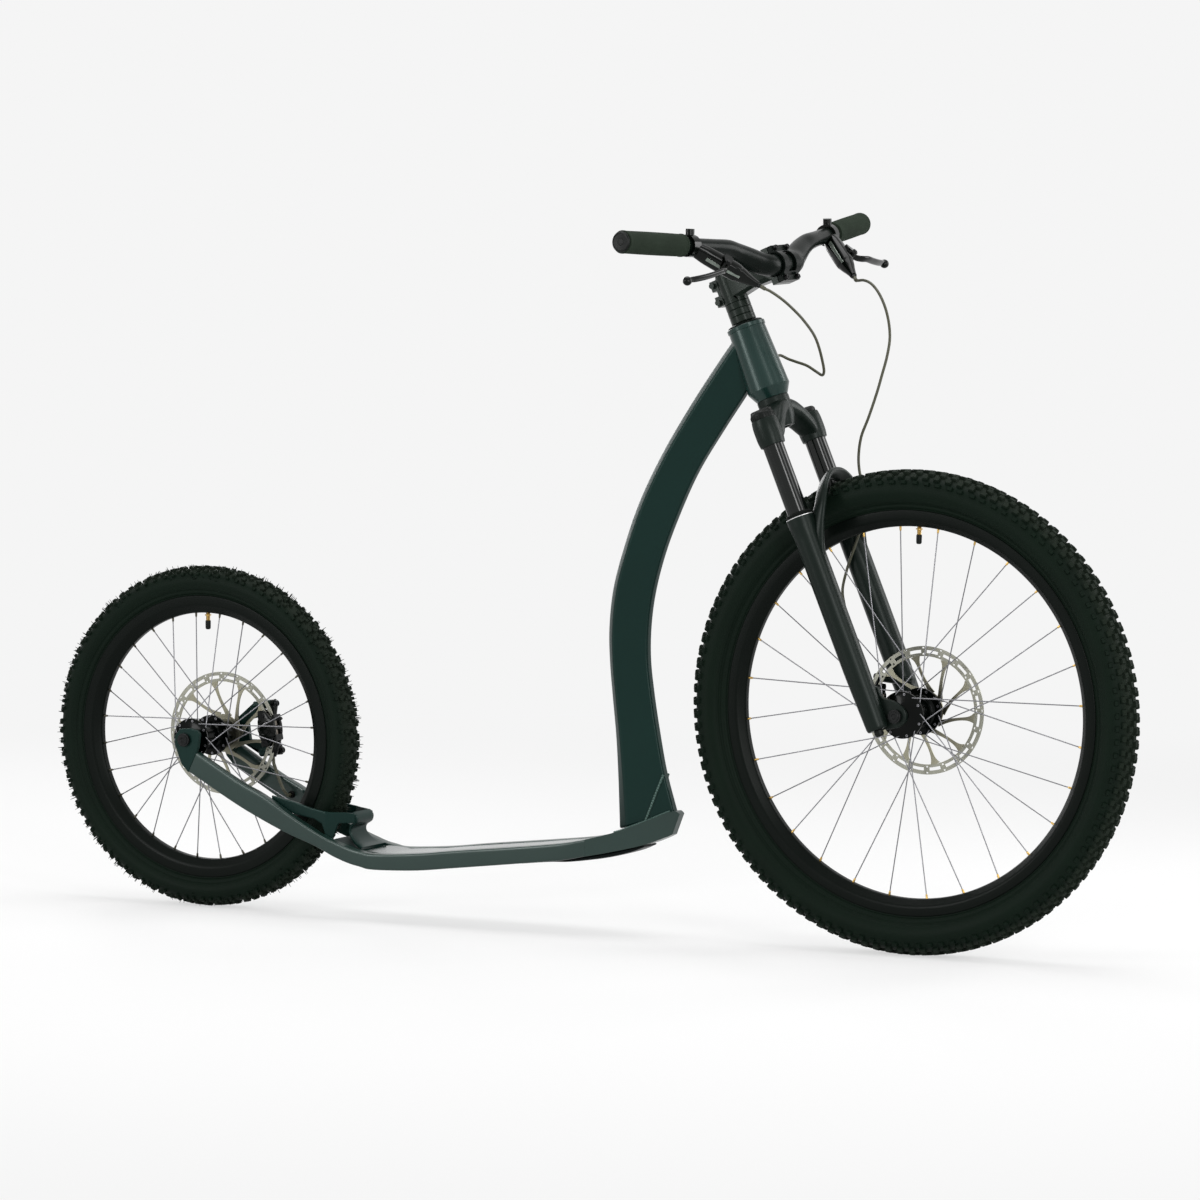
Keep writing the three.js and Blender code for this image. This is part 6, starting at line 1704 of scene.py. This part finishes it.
        back, fore = min(self.tube_lines(240), key=miss)
        run, half, crease = fore - back, self.tube_half, self.tube_crease
        share = clamped(((x - back.x) * run.x + (z - back.z) * run.z) / run.length_squared)
        if share < crease:
            return self.tube_back + (half - self.tube_back) * share / crease
        return half + (self.tube_front - half) * (share - crease) / (1 - crease)

    def tube(self) -> None:
        """Builds the curved main tube, cut to fit round the head tube."""
        rings = []
        for back, fore in self.tube_lines(96):
            bend = back.lerp(fore, self.tube_crease)
            rings.append([
                back - SIDEWAYS * self.tube_back, bend - SIDEWAYS * self.tube_half, fore - SIDEWAYS * self.tube_front,
                fore + SIDEWAYS * self.tube_front, bend + SIDEWAYS * self.tube_half, back + SIDEWAYS * self.tube_back,
            ])
        mesh = Shell().rings(rings).mesh("tube")
        rounded(mesh, 3.2, 18)
        tool = Shell(STEERING).turned(
            [(0, -4), (22.8, -4), (22.8, 0), (29.0, 13.8), (25.6, 103), (25.6, 114), (0, 114)], 64
        ).mesh("tool")
        carve(mesh, tool)
        stand_in("down_tube", mesh, PAINT, Body.FRAME, crease=40)

    def head(self) -> None:
        """Builds the head tube and the bearings' covers."""
        mesh = Shell(STEERING).turned(self.head_profile, 96).mesh("head")
        # The head tube takes the lighter copy of the frame paint, painted light for its highlight.
        stand_in("head_tube", mesh, LIT_HEAD_PAINT, Body.FRAME, crease=30)
        cover = 109.6
        top = Shell(STEERING).turned(
            [(14.6, 102.6), (22.7, 102.6), (22.7, cover), (24.6, cover), (25, cover + 0.4), (25, cover + 1.8),
             (23.6, cover + 2.8), (19, cover + 4.3), (18, cover + 4.5), (14.6, cover + 4.5)], 72)
        stand_in("headset_upper", top.mesh("cover"), ALLOY, Body.STEERING)
        painted("headset_lower", STEEL)

    def bead(self, name: str, path: Sequence[Vector], size: float = 2.0) -> None:
        """Lays a rippled weld bead along a path.

        Args:
            name: The piece's name.
            path: The bead's line.
            size: Its radius.
        """
        curve = Curve(path)
        steps = max(24, int(curve.lengths[-1] / 0.8))
        shell = Shell().swept(curve.even(steps), lambda s: size * (0.9 + 0.12 * math.sin(s * steps * 1.3)), 10)
        # The bead's paint is lighter than the frame's: a painted highlight.
        piece(name, shell.mesh("weld"), WELD_HIGHLIGHT, Body.FRAME, crease=60)

    def welds(self) -> None:
        """Lays the welds along the gusset's upper edge and round the tube's foot."""
        foot, reach, rise = self.tube_frame()
        (hx, hz), (lx, lz) = self.seam
        for side in Side:
            path = []
            for k in range(13):
                share = k / 12
                x = foot.x + (lx + (hx - lx) * share) * reach
                z = foot.z + (lz + (hz - lz) * share) * rise
                path.append(Vector((x, side * (self.tube_side(x, z) + 0.5), z)))
            self.bead(f"weld_gusset_{side.word}", path, 2.1)
            base = []
            for k in range(15):
                share = k / 14
                row = 1 + 2.0 * share
                top_x, top_z, *_ = Curve(self.nose_shape).at(row / 4 - 0.06)
                x, z = self.spot(top_x, top_z)
                base.append(Vector((x, side * self.tube_side(x, z + 2), z + 0.8)))
            self.bead(f"weld_foot_{side.word}", base, 2.0)

    def rail_top(self, share: float) -> float:
        """The height of the rails' top at a share of the deck's length."""
        line = Curve([(x, z) for x, z, *_ in self.rail_shape]).uniform(120)
        after = next((k for k, p in enumerate(line) if p.x >= share), len(line) - 1)
        before, beyond = line[max(after - 1, 0)], line[after]
        part = (share - before.x) / max(beyond.x - before.x, 1e-6)
        return before.y + (beyond.y - before.y) * part

    def belly(self) -> None:
        """Builds the plate under the deck's front, thin at both ends."""
        shape = [(0.7, 0.395, 44, 0.4), (0.75, 0.414, 43, 1.0), (0.79, 0.43, 41, 3.6), (0.8312, 0.456, 37.6, 6.2),
                 (0.8747, 0.484, 29.6, 7.2), (0.915, 0.515, 22, 6.0), (0.9348, 0.53, 18.8, 3.0)]
        rings = []
        for share, level, half, drop in Curve(shape).uniform(48):
            x, z = self.spot(share, level)
            middle = Vector((x, 0, z - 0.4 - drop / 2))
            rings.append([middle + Vector((0, a, b)) for a, b in superellipse(half, drop / 2, 5.0, 36)])
        # The plate under the deck takes the darkened frame paint, painted shade.
        stand_in("belly_plate", Shell().rings(rings).mesh("belly"), BELLY_SHADE, Body.FRAME)

    def yoke(self) -> None:
        """Builds the yoke in front of the rear tyre: folded side plates and a flared front wall."""
        thick, outer, inner = 4.5, 46.0, 25.0
        shell = Shell()
        crest = Curve([(0.172, 0.694), (0.217, 0.668), (0.256, 0.635), (0.29, 0.6175), (0.325, 0.612), (0.3345, 0.606)])
        for side in Side:
            rings = []
            for top in crest.uniform(60):
                x = top.x
                fold = clamped((x - 0.287) / 0.05)
                across = outer + (inner - outer) * fold - thick / 2
                slot = clamped((x - 0.212) / 0.05) * clamped((0.287 - x) / 0.008)
                rail = self.rail_top(x) - 0.012 + 0.062 * slot
                lift = eased(clamped((x - 0.296) / 0.012))
                low = rail + (max(rail, 0.552) - rail) * lift
                (px, high), (_, base) = self.spot(x, top.y), self.spot(x, min(low, top.y - 0.006))
                middle = Vector((px, side * across, (high + base) / 2))
                section = superellipse((high - base) / 2, thick / 2, 7.0, 24)
                rings.append([middle + Vector((0, b, a)) for a, b in section])
            shell.rings(rings)
        sole = [self.spot(share, self.rail_top(share) - 0.02) for share in (0.298, 0.31, 0.325, 0.34, 0.356)]
        shell.rings([[Vector((x, a, z + b)) for a, b in superellipse(38.5, 2.0, 7.0, 28)] for x, z in sole])
        wall = Curve([
            (*self.spot(x, z), inner * width) for x, z, width in (
                (0.3285, 0.6105, 1), (0.3355, 0.585, 1), (0.334, 0.556, 0.98), (0.3235, 0.53, 0.92),
                (0.3215, 0.497, 0.92), (0.328, 0.462, 1), (0.341, 0.43, 1.2), (0.356, 0.4115, 1.45),
            )
        ])
        path = wall.even(48)
        rings = []
        for k, at in enumerate(path):
            ahead, behind = path[min(k + 1, 48)], path[max(k - 1, 0)]
            run = Vector((ahead.x - behind.x, 0, ahead.y - behind.y)).normalized()
            normal = run.cross(SIDEWAYS)
            middle = Vector((at.x, 0, at.y))
            rings.append([middle + SIDEWAYS * a + normal * b for a, b in superellipse(at.z, thick / 2, 7.0, 28)])
        shell.rings(rings)
        stand_in("rear_yoke", shell.mesh("yoke"), PAINT, Body.FRAME, crease=36)

    def plates(self) -> None:
        """Rounds the deck plate, dropouts, axle and hose openings; builds the belly plate and the yoke."""
        softened("deck_plate", DECK, Body.FRAME, 0.7)
        self.belly()
        self.yoke()
        for side in Side:
            softened(f"rear_dropout_{side.word}", PAINT, Body.FRAME, 1.1, 24)
        softened("rear_axle", BOLT, Body.FRAME, 0.9)
        reach = self.hub_half + GAP + self.dropout_thickness + GAP + AXLE_HEAD
        axle_sockets("rear_axle_sockets", REAR_AXLE, reach, Body.FRAME)
        softened("hose_port", SOFT, Body.FRAME, 0.6, 40)
        softened("hose_grommet", SOFT, Body.FRAME, 0.6, 40)

    def build(self) -> None:
        """Builds every piece of the frame."""
        self.tube()
        self.head()
        self.nose()
        for side in Side:
            self.rail(side)
        self.plates()
        self.welds()


# Brakes and hoses


@dataclass(frozen=True)
class Caliper:
    """A disc caliper, in a frame whose X axis runs from the axle through it; sizes in millimetres."""

    name: str
    body: Body
    place: Matrix
    rotor_plane: float
    pads: tuple[Body, Body]
    banjo_lean: float
    radius: float = CALIPER_RADIUS
    height: float = CALIPER_HEIGHT
    length: float = 54
    post_spacing: float = POST_SPACING
    post_offset: float = POST_OFFSET
    body_shape: tuple[tuple[float, float, float, float], ...] = (
        (-27, 4.5, 8.5, 0.5), (-23, 7.5, 6, 0.7), (-16, 10, 2.6, 0.86), (-11.5, 13.4, 0.8, 0.97), (0, 14.4, 0, 1),
        (11.5, 13.4, 0.8, 0.97), (16, 10, 2.6, 0.86), (23, 7.5, 6, 0.7), (27, 4.5, 8.5, 0.5),
    )

    @property
    def banjo_foot(self) -> Vector:
        """Where the hose joint's axis leaves the body."""
        return Vector((self.radius + self.height * 0.25, self.rotor_plane + 4.14, -self.length * 0.36))

    @property
    def banjo_way(self) -> Vector:
        """The direction of the hose joint's axis."""
        return Vector((math.sin(self.banjo_lean), 0, -math.cos(self.banjo_lean)))

    def half_body(self, shell: Shell, side: Side) -> None:
        """Adds one waisted half of the body, clear of the disc and the pads.

        Args:
            shell: Gathers the body.
            side: Which side of the disc.
        """
        near, far = 5.6, 13.0 if side is Side.LEFT else 14.0
        rings = []
        for along, high, drop, thick in Curve(self.body_shape).uniform(48):
            reach = near + (far - near) * thick
            middle = Vector((self.radius + 1 - drop, self.rotor_plane + side * (near + reach) / 2, along))
            section = superellipse(high, (reach - near) / 2, 3.0, 28)
            rings.append([middle + Vector((a, b, 0)) for a, b in section])
        shell.rings(rings)

    def bridge(self, shell: Shell, centre: float, length: float) -> None:
        """Adds one bridge over the disc's rim between the halves.

        Args:
            shell: Gathers the body.
            centre: Its middle along the caliper.
            length: Its length along the caliper.
        """
        rings = []
        for share in (-1, -0.5, 0, 0.5, 1):
            middle = Vector((93.0, self.rotor_plane + share * 9.5, centre))
            rings.append([middle + Vector((a, 0, b)) for a, b in superellipse(1.9, length / 2, 4.0, 20)])
        shell.rings(rings)

    def cast(self) -> None:
        """Builds the body: two halves, their bridges, ears and piston bosses."""
        shell, plane = Shell(self.place), self.rotor_plane
        boss = [(0, -2), (11.6, -2), (11.6, 0.6), (11.0, 1.3), (9.6, 1.5), (9.0, 0.9), (7.6, 0.7), (7.0, 1.2), (0, 1.3)]
        for side in Side:
            self.half_body(shell, side)
            far = 12.2 if side is Side.LEFT else 13.2
            shell.turned(boss, 44, facing(Vector((self.radius - 1.5, plane + side * far, 0)), SIDEWAYS * side))
            ear = Vector((self.radius + 3.6, plane + self.post_offset, side * self.post_spacing / 2))
            root = Vector((self.radius + 1.5, plane + self.post_offset - 5, side * 17))
            shell.swept(Curve([root, root.lerp(ear, 0.5), ear]).even(12), 5.2, 24, FORWARD, 0.9, 3.2)
            shell.rod(ear - Vector((3.3, 0, 0)), ear + Vector((2.2, 0, 0)), 6.6, None, 32)
        for centre, length in ((-14.5, 9), (14.5, 9), (0, 6)):
            self.bridge(shell, centre, length)
        stand_in(f"{self.name}_caliper", shell.mesh("caliper"), LACQUER, self.body, crease=34)

    def build(self) -> None:
        """Builds the body with its bolts, bleed screw, banjo and pads."""
        self.cast()
        plane = self.rotor_plane
        bolts = Shell(self.place)
        for across in (-1, 1):
            spot = Vector((self.radius + 5.2, plane + self.post_offset, across * self.post_spacing / 2))
            bolts.rod(spot, spot + Vector((4.4, 0, 0)), 4.6, 4.3, 26)
            bolts.turned([(2.1, 4.4), (3.9, 4.4), (3.5, 5.1), (2.3, 5.1)], 24, facing(spot, FORWARD))
            for side, face in ((Side.LEFT, 10.8), (Side.RIGHT, 11.6)):
                seat = Vector((self.radius - 2.5, plane + side * face, across * self.length * 0.36))
                bolts.rod(seat, seat + SIDEWAYS * side * 2.0, 3.6, 3.3, 24)
                bolts.turned([(1.7, 2.0), (3.0, 2.0), (2.7, 2.6), (1.9, 2.6)], 24, facing(seat, SIDEWAYS * side))
        foot, lean = self.banjo_foot, self.banjo_way
        nut, collar, tip = (foot + lean * past for past in (12, 18, 24))
        bolts.rod(nut, collar, 6.2, 6.0, 6).rod(collar, tip, 5.2, 4.6, 20)
        bolts.swept([foot + lean * past for past in (-6, 0, 6, 12)], 5.4, 22)
        bolts.rod(foot + Vector((8, -2, 30)), foot + Vector((13, -2, 32)), 2.6, 2.0, 14)
        piece(f"{self.name}_caliper_fittings", bolts.mesh("bolts"), BOLT, self.body)
        for word, body in zip(("outer", "inner"), self.pads):
            softened(f"{self.name}_pad_{word}", LINING, body, 0.4)


@dataclass(frozen=True)
class Hoses:
    """The brake hoses, on the routes of their solids; sizes in millimetres."""

    radius: float = 2.0
    port_side: Vector = field(default_factory=lambda: Vector((0.35, 0.937, 0)))
    port: Vector = field(default_factory=lambda: Vector((9.975, 26.7045, 56.6)))
    rear_loop: tuple[tuple[float, float, float], ...] = (
        (119.3, -133, 120.3), (118.8, -104, 106.3), (114.6, -72, 90.5), (107.5, -40, 75.7), (91.6, 8, 52.4),
        (75.4, 36, 24), (66.4, 47, 10.8), (59.8, 52, 8.6), (53.1, 54, 15.4), (42.1, 53, 29.8), (30, 49.5, 40.5),
        (21, 47, 48.5),
    )
    front_upper: tuple[tuple[float, float, float], ...] = (
        (131.3, 136, 119.8), (143.9, 128, 110.3), (154.3, 119, 92.9), (161.2, 108, 67.3), (162.2, 98, 41.5),
        (157.9, 92, 21.3), (147.1, 87, 0.3), (132.1, 83, -20.8), (117.9, 80, -39.8), (92.7, 75.5, -69.8),
        (73.3, 72.5, -91), (59.8, 70.5, -115.5), (54, 69, -135.3), (52.3, 68, -152.2),
    )
    front_lower: tuple[tuple[float, float, float], ...] = (
        (54.5, 66.5, -158.2), (52, 59, -178.1), (42, 49, -202.7), (24.3, 43.5, -227.2), (8.1, 42.5, -244.5),
        (-7.1, 42, -261.9), (-22, 42, -283.3), (-27.9, 42, -307.1), (-35, 42.5, -337.1), (-36, 43, -365.4),
    )

    def into(self, hole: Vector, way: Vector) -> list[Vector]:
        """The straight last part of a hose into a hole."""
        return [hole + way * share * 9 for share in (1.6, 1.1, 0.6)] + [hole + way * 0.6]

    def starts(self, cockpit: Cockpit, side: Side) -> list[Vector]:
        """Where a hose leaves its master cylinder."""
        f = cockpit.lever_frame(side)
        return [f.at + f.run * (1.06 + reach) + f.run.normalized() * GAP for reach in (0, 0.08)]

    def laid(self, place: Matrix, points: Sequence[Vector]) -> bpy.types.Mesh:
        """The mesh of a hose on a smooth curve, with short collars at its ends."""
        path = Curve(points)
        count = int(path.lengths[-1] / 2.5)
        shell = Shell(place).swept(path.even(count), self.radius, 18)
        for a, b in ((0.0, 9 / path.lengths[-1]), (1 - 7 / path.lengths[-1], 1.0)):
            spots = [path.along(a + (b - a) * k / 6) for k in range(7)]
            shell.swept(spots, lambda s: self.radius + 0.75, 18)
        return shell.mesh("hose")

    def bent(self, node: str, points: Sequence[Vector]) -> None:
        """Builds a hose that runs between the steering and another body, attached to neither.

        Args:
            node: The solid that it stands for.
            points: Its route.
        """
        made = piece(
            f"{node}_dressed", self.laid(STEERING, points), SLEEVE, Body.STEERING, node, crease=60, ride=False
        )
        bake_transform(made)

    def build(self, cockpit: Cockpit, front: Caliper) -> None:
        """Builds all the hoses and the clip.

        Args:
            cockpit: Gives the master cylinders' ends.
            front: The caliper on the fork.
        """
        loop, upper, lower = (
            [Vector(point) for point in route] for route in (self.rear_loop, self.front_upper, self.front_lower)
        )
        inlet = self.into(self.port, self.port_side)
        self.bent(
            "rear_hose_loop", [*self.starts(cockpit, Side.RIGHT), *loop, *inlet]
        )
        self.bent(
            "front_hose_upper", [*self.starts(cockpit, Side.LEFT), *upper]
        )
        into_steering = STEERING.inverted() @ front.place
        ends = [into_steering @ (front.banjo_foot + front.banjo_way * (24 + past)) for past in (GAP * 13, GAP)]
        stand_in("front_hose_lower", self.laid(STEERING, [*lower, *ends]), SLEEVE, Body.LOWER_FORK, crease=60)
        hose_clip(STEERING @ Vector((53.4, 67.2, -155.2)), AXIS_UP)
        painted("rear_hose_frame", SLEEVE)


def hose_clip(centre: Vector, along: Vector) -> None:
    """Adds the clip where the front hose meets the fork's arch."""
    shell = Shell(facing(centre, along))
    shell.turned([(2.7, -4.6), (4.0, -4.6), (4.6, -4.0), (4.6, 4.0), (4.0, 4.6), (2.7, 4.6)], 28)
    piece("hose_clip", shell.mesh("clip"), KNOB, Body.LOWER_FORK)


# Studio


@dataclass(frozen=True)
class Studio:
    """Pale floor, soft light and the photograph's camera; metres."""

    pale: Colour = Colour(245, 245, 245)
    camera_at: tuple[float, float, float] = (5.123856, -9.468265, 1.422622)
    yaw: float = 0.49337
    pitch: float = 0.087818
    lens: float = 228

    def backdrop(self, graph: Graph, share: Value, lit: Value) -> Value:
        """Mixes a lit surface with a share of an even pale glow."""
        glow = graph.add("ShaderNodeEmission", {}, {"Color": self.pale.linear(), "Strength": 1.0})
        return graph.add("ShaderNodeMixShader", {}, {0: share, 1: lit, 2: glow})

    def seen(self, graph: Graph) -> Value:
        """Is 1 for rays that show the background: camera, glossy and transmission rays."""
        path = [graph.add("ShaderNodeLightPath", {}, {}, name) for name in
                ("Is Camera Ray", "Is Glossy Ray", "Is Transmission Ray")]
        return (path[0] + path[1] + path[2]) > 0.5

    def floor(self) -> None:
        """Builds the floor, which keeps a soft shadow under the bike."""
        shell = Shell()
        shell.turned([(0, 0), (40000, 0)], 64)
        mesh = shell.mesh("floor")
        made = bpy.data.objects.new("floor", mesh)
        made.location.z = -0.0002
        bpy.context.scene.collection.objects.link(made)
        graph = Graph(bpy.data.materials.new("studio_floor"))
        lit = graph.add("ShaderNodeBsdfPrincipled", {}, {"Base Color": self.pale.linear(), "Roughness": 0.85}, "BSDF")
        away = graph.vector("LENGTH", graph.place(), output="Value").step(0.9, 3.0)
        share = self.seen(graph) * (0.62 + 0.38 * away)
        graph.add("ShaderNodeOutputMaterial", {}, {"Surface": self.backdrop(graph, share, lit)})
        mesh.materials.append(graph.owner)

    def world(self) -> None:
        """Sets an even pale surround, dimmer as a light than as a background."""
        world = bpy.data.worlds.new("surround")
        bpy.context.scene.world = world
        graph = Graph(world)
        ambient = graph.add("ShaderNodeBackground", {}, {"Color": (1, 1, 1, 1), "Strength": 0.28})
        shown = graph.add("ShaderNodeBackground", {}, {"Color": self.pale.linear(), "Strength": 1.0})
        surface = graph.add("ShaderNodeMixShader", {}, {0: self.seen(graph), 1: ambient, 2: shown})
        graph.add("ShaderNodeOutputWorld", {}, {"Surface": surface})

    def lamp(self, name: str, at: Vector, aim: Vector, size: tuple[float, float], power: float) -> None:
        """Adds a soft box.

        Args:
            name: The lamp's name.
            at: Where it stands.
            aim: Where it points.
            size: Its width and height.
            power: Its power in watts.
        """
        light = bpy.data.lights.new(name, "AREA")
        light.shape = "RECTANGLE"
        light.size, light.size_y = size
        light.energy = power
        made = bpy.data.objects.new(name, light)
        made.location = at
        made.rotation_euler = (aim - at).to_track_quat("-Z", "Y").to_euler()
        bpy.context.scene.collection.objects.link(made)

    def lamps(self) -> None:
        """Sets a broad top light, a key from the camera's left and strips that edge the metal."""
        middle = Vector((0, 0, 0.5))
        self.lamp("top_light", Vector((0, 0.2, 3.0)), middle, (2.6, 1.6), 50)
        self.lamp("key_light", Vector((-1.9, -3.4, 1.7)), middle, (1.1, 2.0), 64)
        self.lamp("near_strip", Vector((3.4, -2.7, 1.5)), middle, (0.8, 2.4), 72)
        self.lamp("front_strip", Vector((3.2, -0.2, 1.3)), middle, (0.8, 2.2), 20)
        self.lamp("back_strip", Vector((-2.4, 1.8, 1.6)), middle, (0.8, 2.2), 30)
        self.lamp("far_grip_strip", Vector((1.8, 1.6, 1.3)), Vector((0.3, 0.3, 0.95)), (0.8, 1.2), 18)

    def camera(self) -> None:
        """Sets the photograph's view."""
        data = bpy.data.cameras.new("view")
        data.sensor_width = 36
        data.lens = self.lens
        data.clip_end = 200
        made = bpy.data.objects.new("view", data)
        made.location = self.camera_at
        made.rotation_euler = (math.pi / 2 - self.pitch, 0, self.yaw)
        bpy.context.scene.collection.objects.link(made)
        bpy.context.scene.camera = made

    def build(self) -> None:
        """Builds the studio."""
        bpy.context.scene.view_settings.view_transform = "Standard"
        self.camera()
        self.floor()
        self.world()
        self.lamps()


FRONT_WHEEL = Wheel(
    "front", Body.FRONT_WHEEL, FRONT_AXLE, tyre_radius=FRONT_RADIUS, tyre_width=60, rim_radius=284, rim_depth=24,
    rim_width=30, hub_width=100, near_flange=37, far_flange=20, flange_radius=33, shell_radius=19,
    rotor_plane=FRONT_DISC, valve_angle=math.radians(88.3), pitches=114,
    rows=(*paired(0.13, 7.0, 9.0, 4.5, 0.0), *paired(0.42, 7.6, 8.0, 4.5, 0.25), *paired(0.7, 7.0, 8.2, 4.3, 0.0),
          *paired(0.9, 5.0, 7.2, 3.6, 0.28)),
    nipples=BRASS, jitter=0.06,
)
REAR_WHEEL = Wheel(
    "rear", Body.REAR_WHEEL, REAR_AXLE, tyre_radius=REAR_RADIUS, tyre_width=48, rim_radius=207, rim_depth=26.5,
    rim_width=29, hub_width=120, near_flange=48, far_flange=8, flange_radius=29.5, shell_radius=17,
    rotor_plane=REAR_DISC, valve_angle=math.radians(90), pitches=96,
    rows=(*paired(0.12, 5.6, 6.4, 4.5, 0.1), *paired(0.38, 5.2, 5.0, 4.5, 0.35), *paired(0.64, 5.0, 5.2, 4.4, 0.1),
          *paired(0.85, 4.4, 4.6, 4.0, 0.4)),
    nipples=DARK_NIPPLE, hairs=700, jitter=0.22,
)
FRONT_CALIPER = Caliper(
    "front", Body.LOWER_FORK, STEERING @ FORK_BRAKE, FRONT_DISC, (Body.FRONT_PAD_OUT, Body.FRONT_PAD_IN),
    math.radians(30),
)
REAR_CALIPER = Caliper(
    "rear", Body.FRAME, Matrix.Translation(REAR_AXLE) @ Matrix.Rotation(-math.radians(8), 4, "Y"),
    REAR_DISC, (Body.REAR_PAD_OUT, Body.REAR_PAD_IN), math.radians(-26),
)


def main() -> None:
    """Builds the studio and every sub-assembly in order."""
    logging.basicConfig(level=logging.INFO, format="%(message)s")
    cockpit = Cockpit()
    Studio().build()
    MainFrame().build()
    Fork().build()
    cockpit.build()
    for wheel in (REAR_WHEEL, FRONT_WHEEL):
        wheel.build()
    for caliper in (REAR_CALIPER, FRONT_CALIPER):
        caliper.build()
    Hoses().build(cockpit, FRONT_CALIPER)


if __name__ == "__main__":
    main()
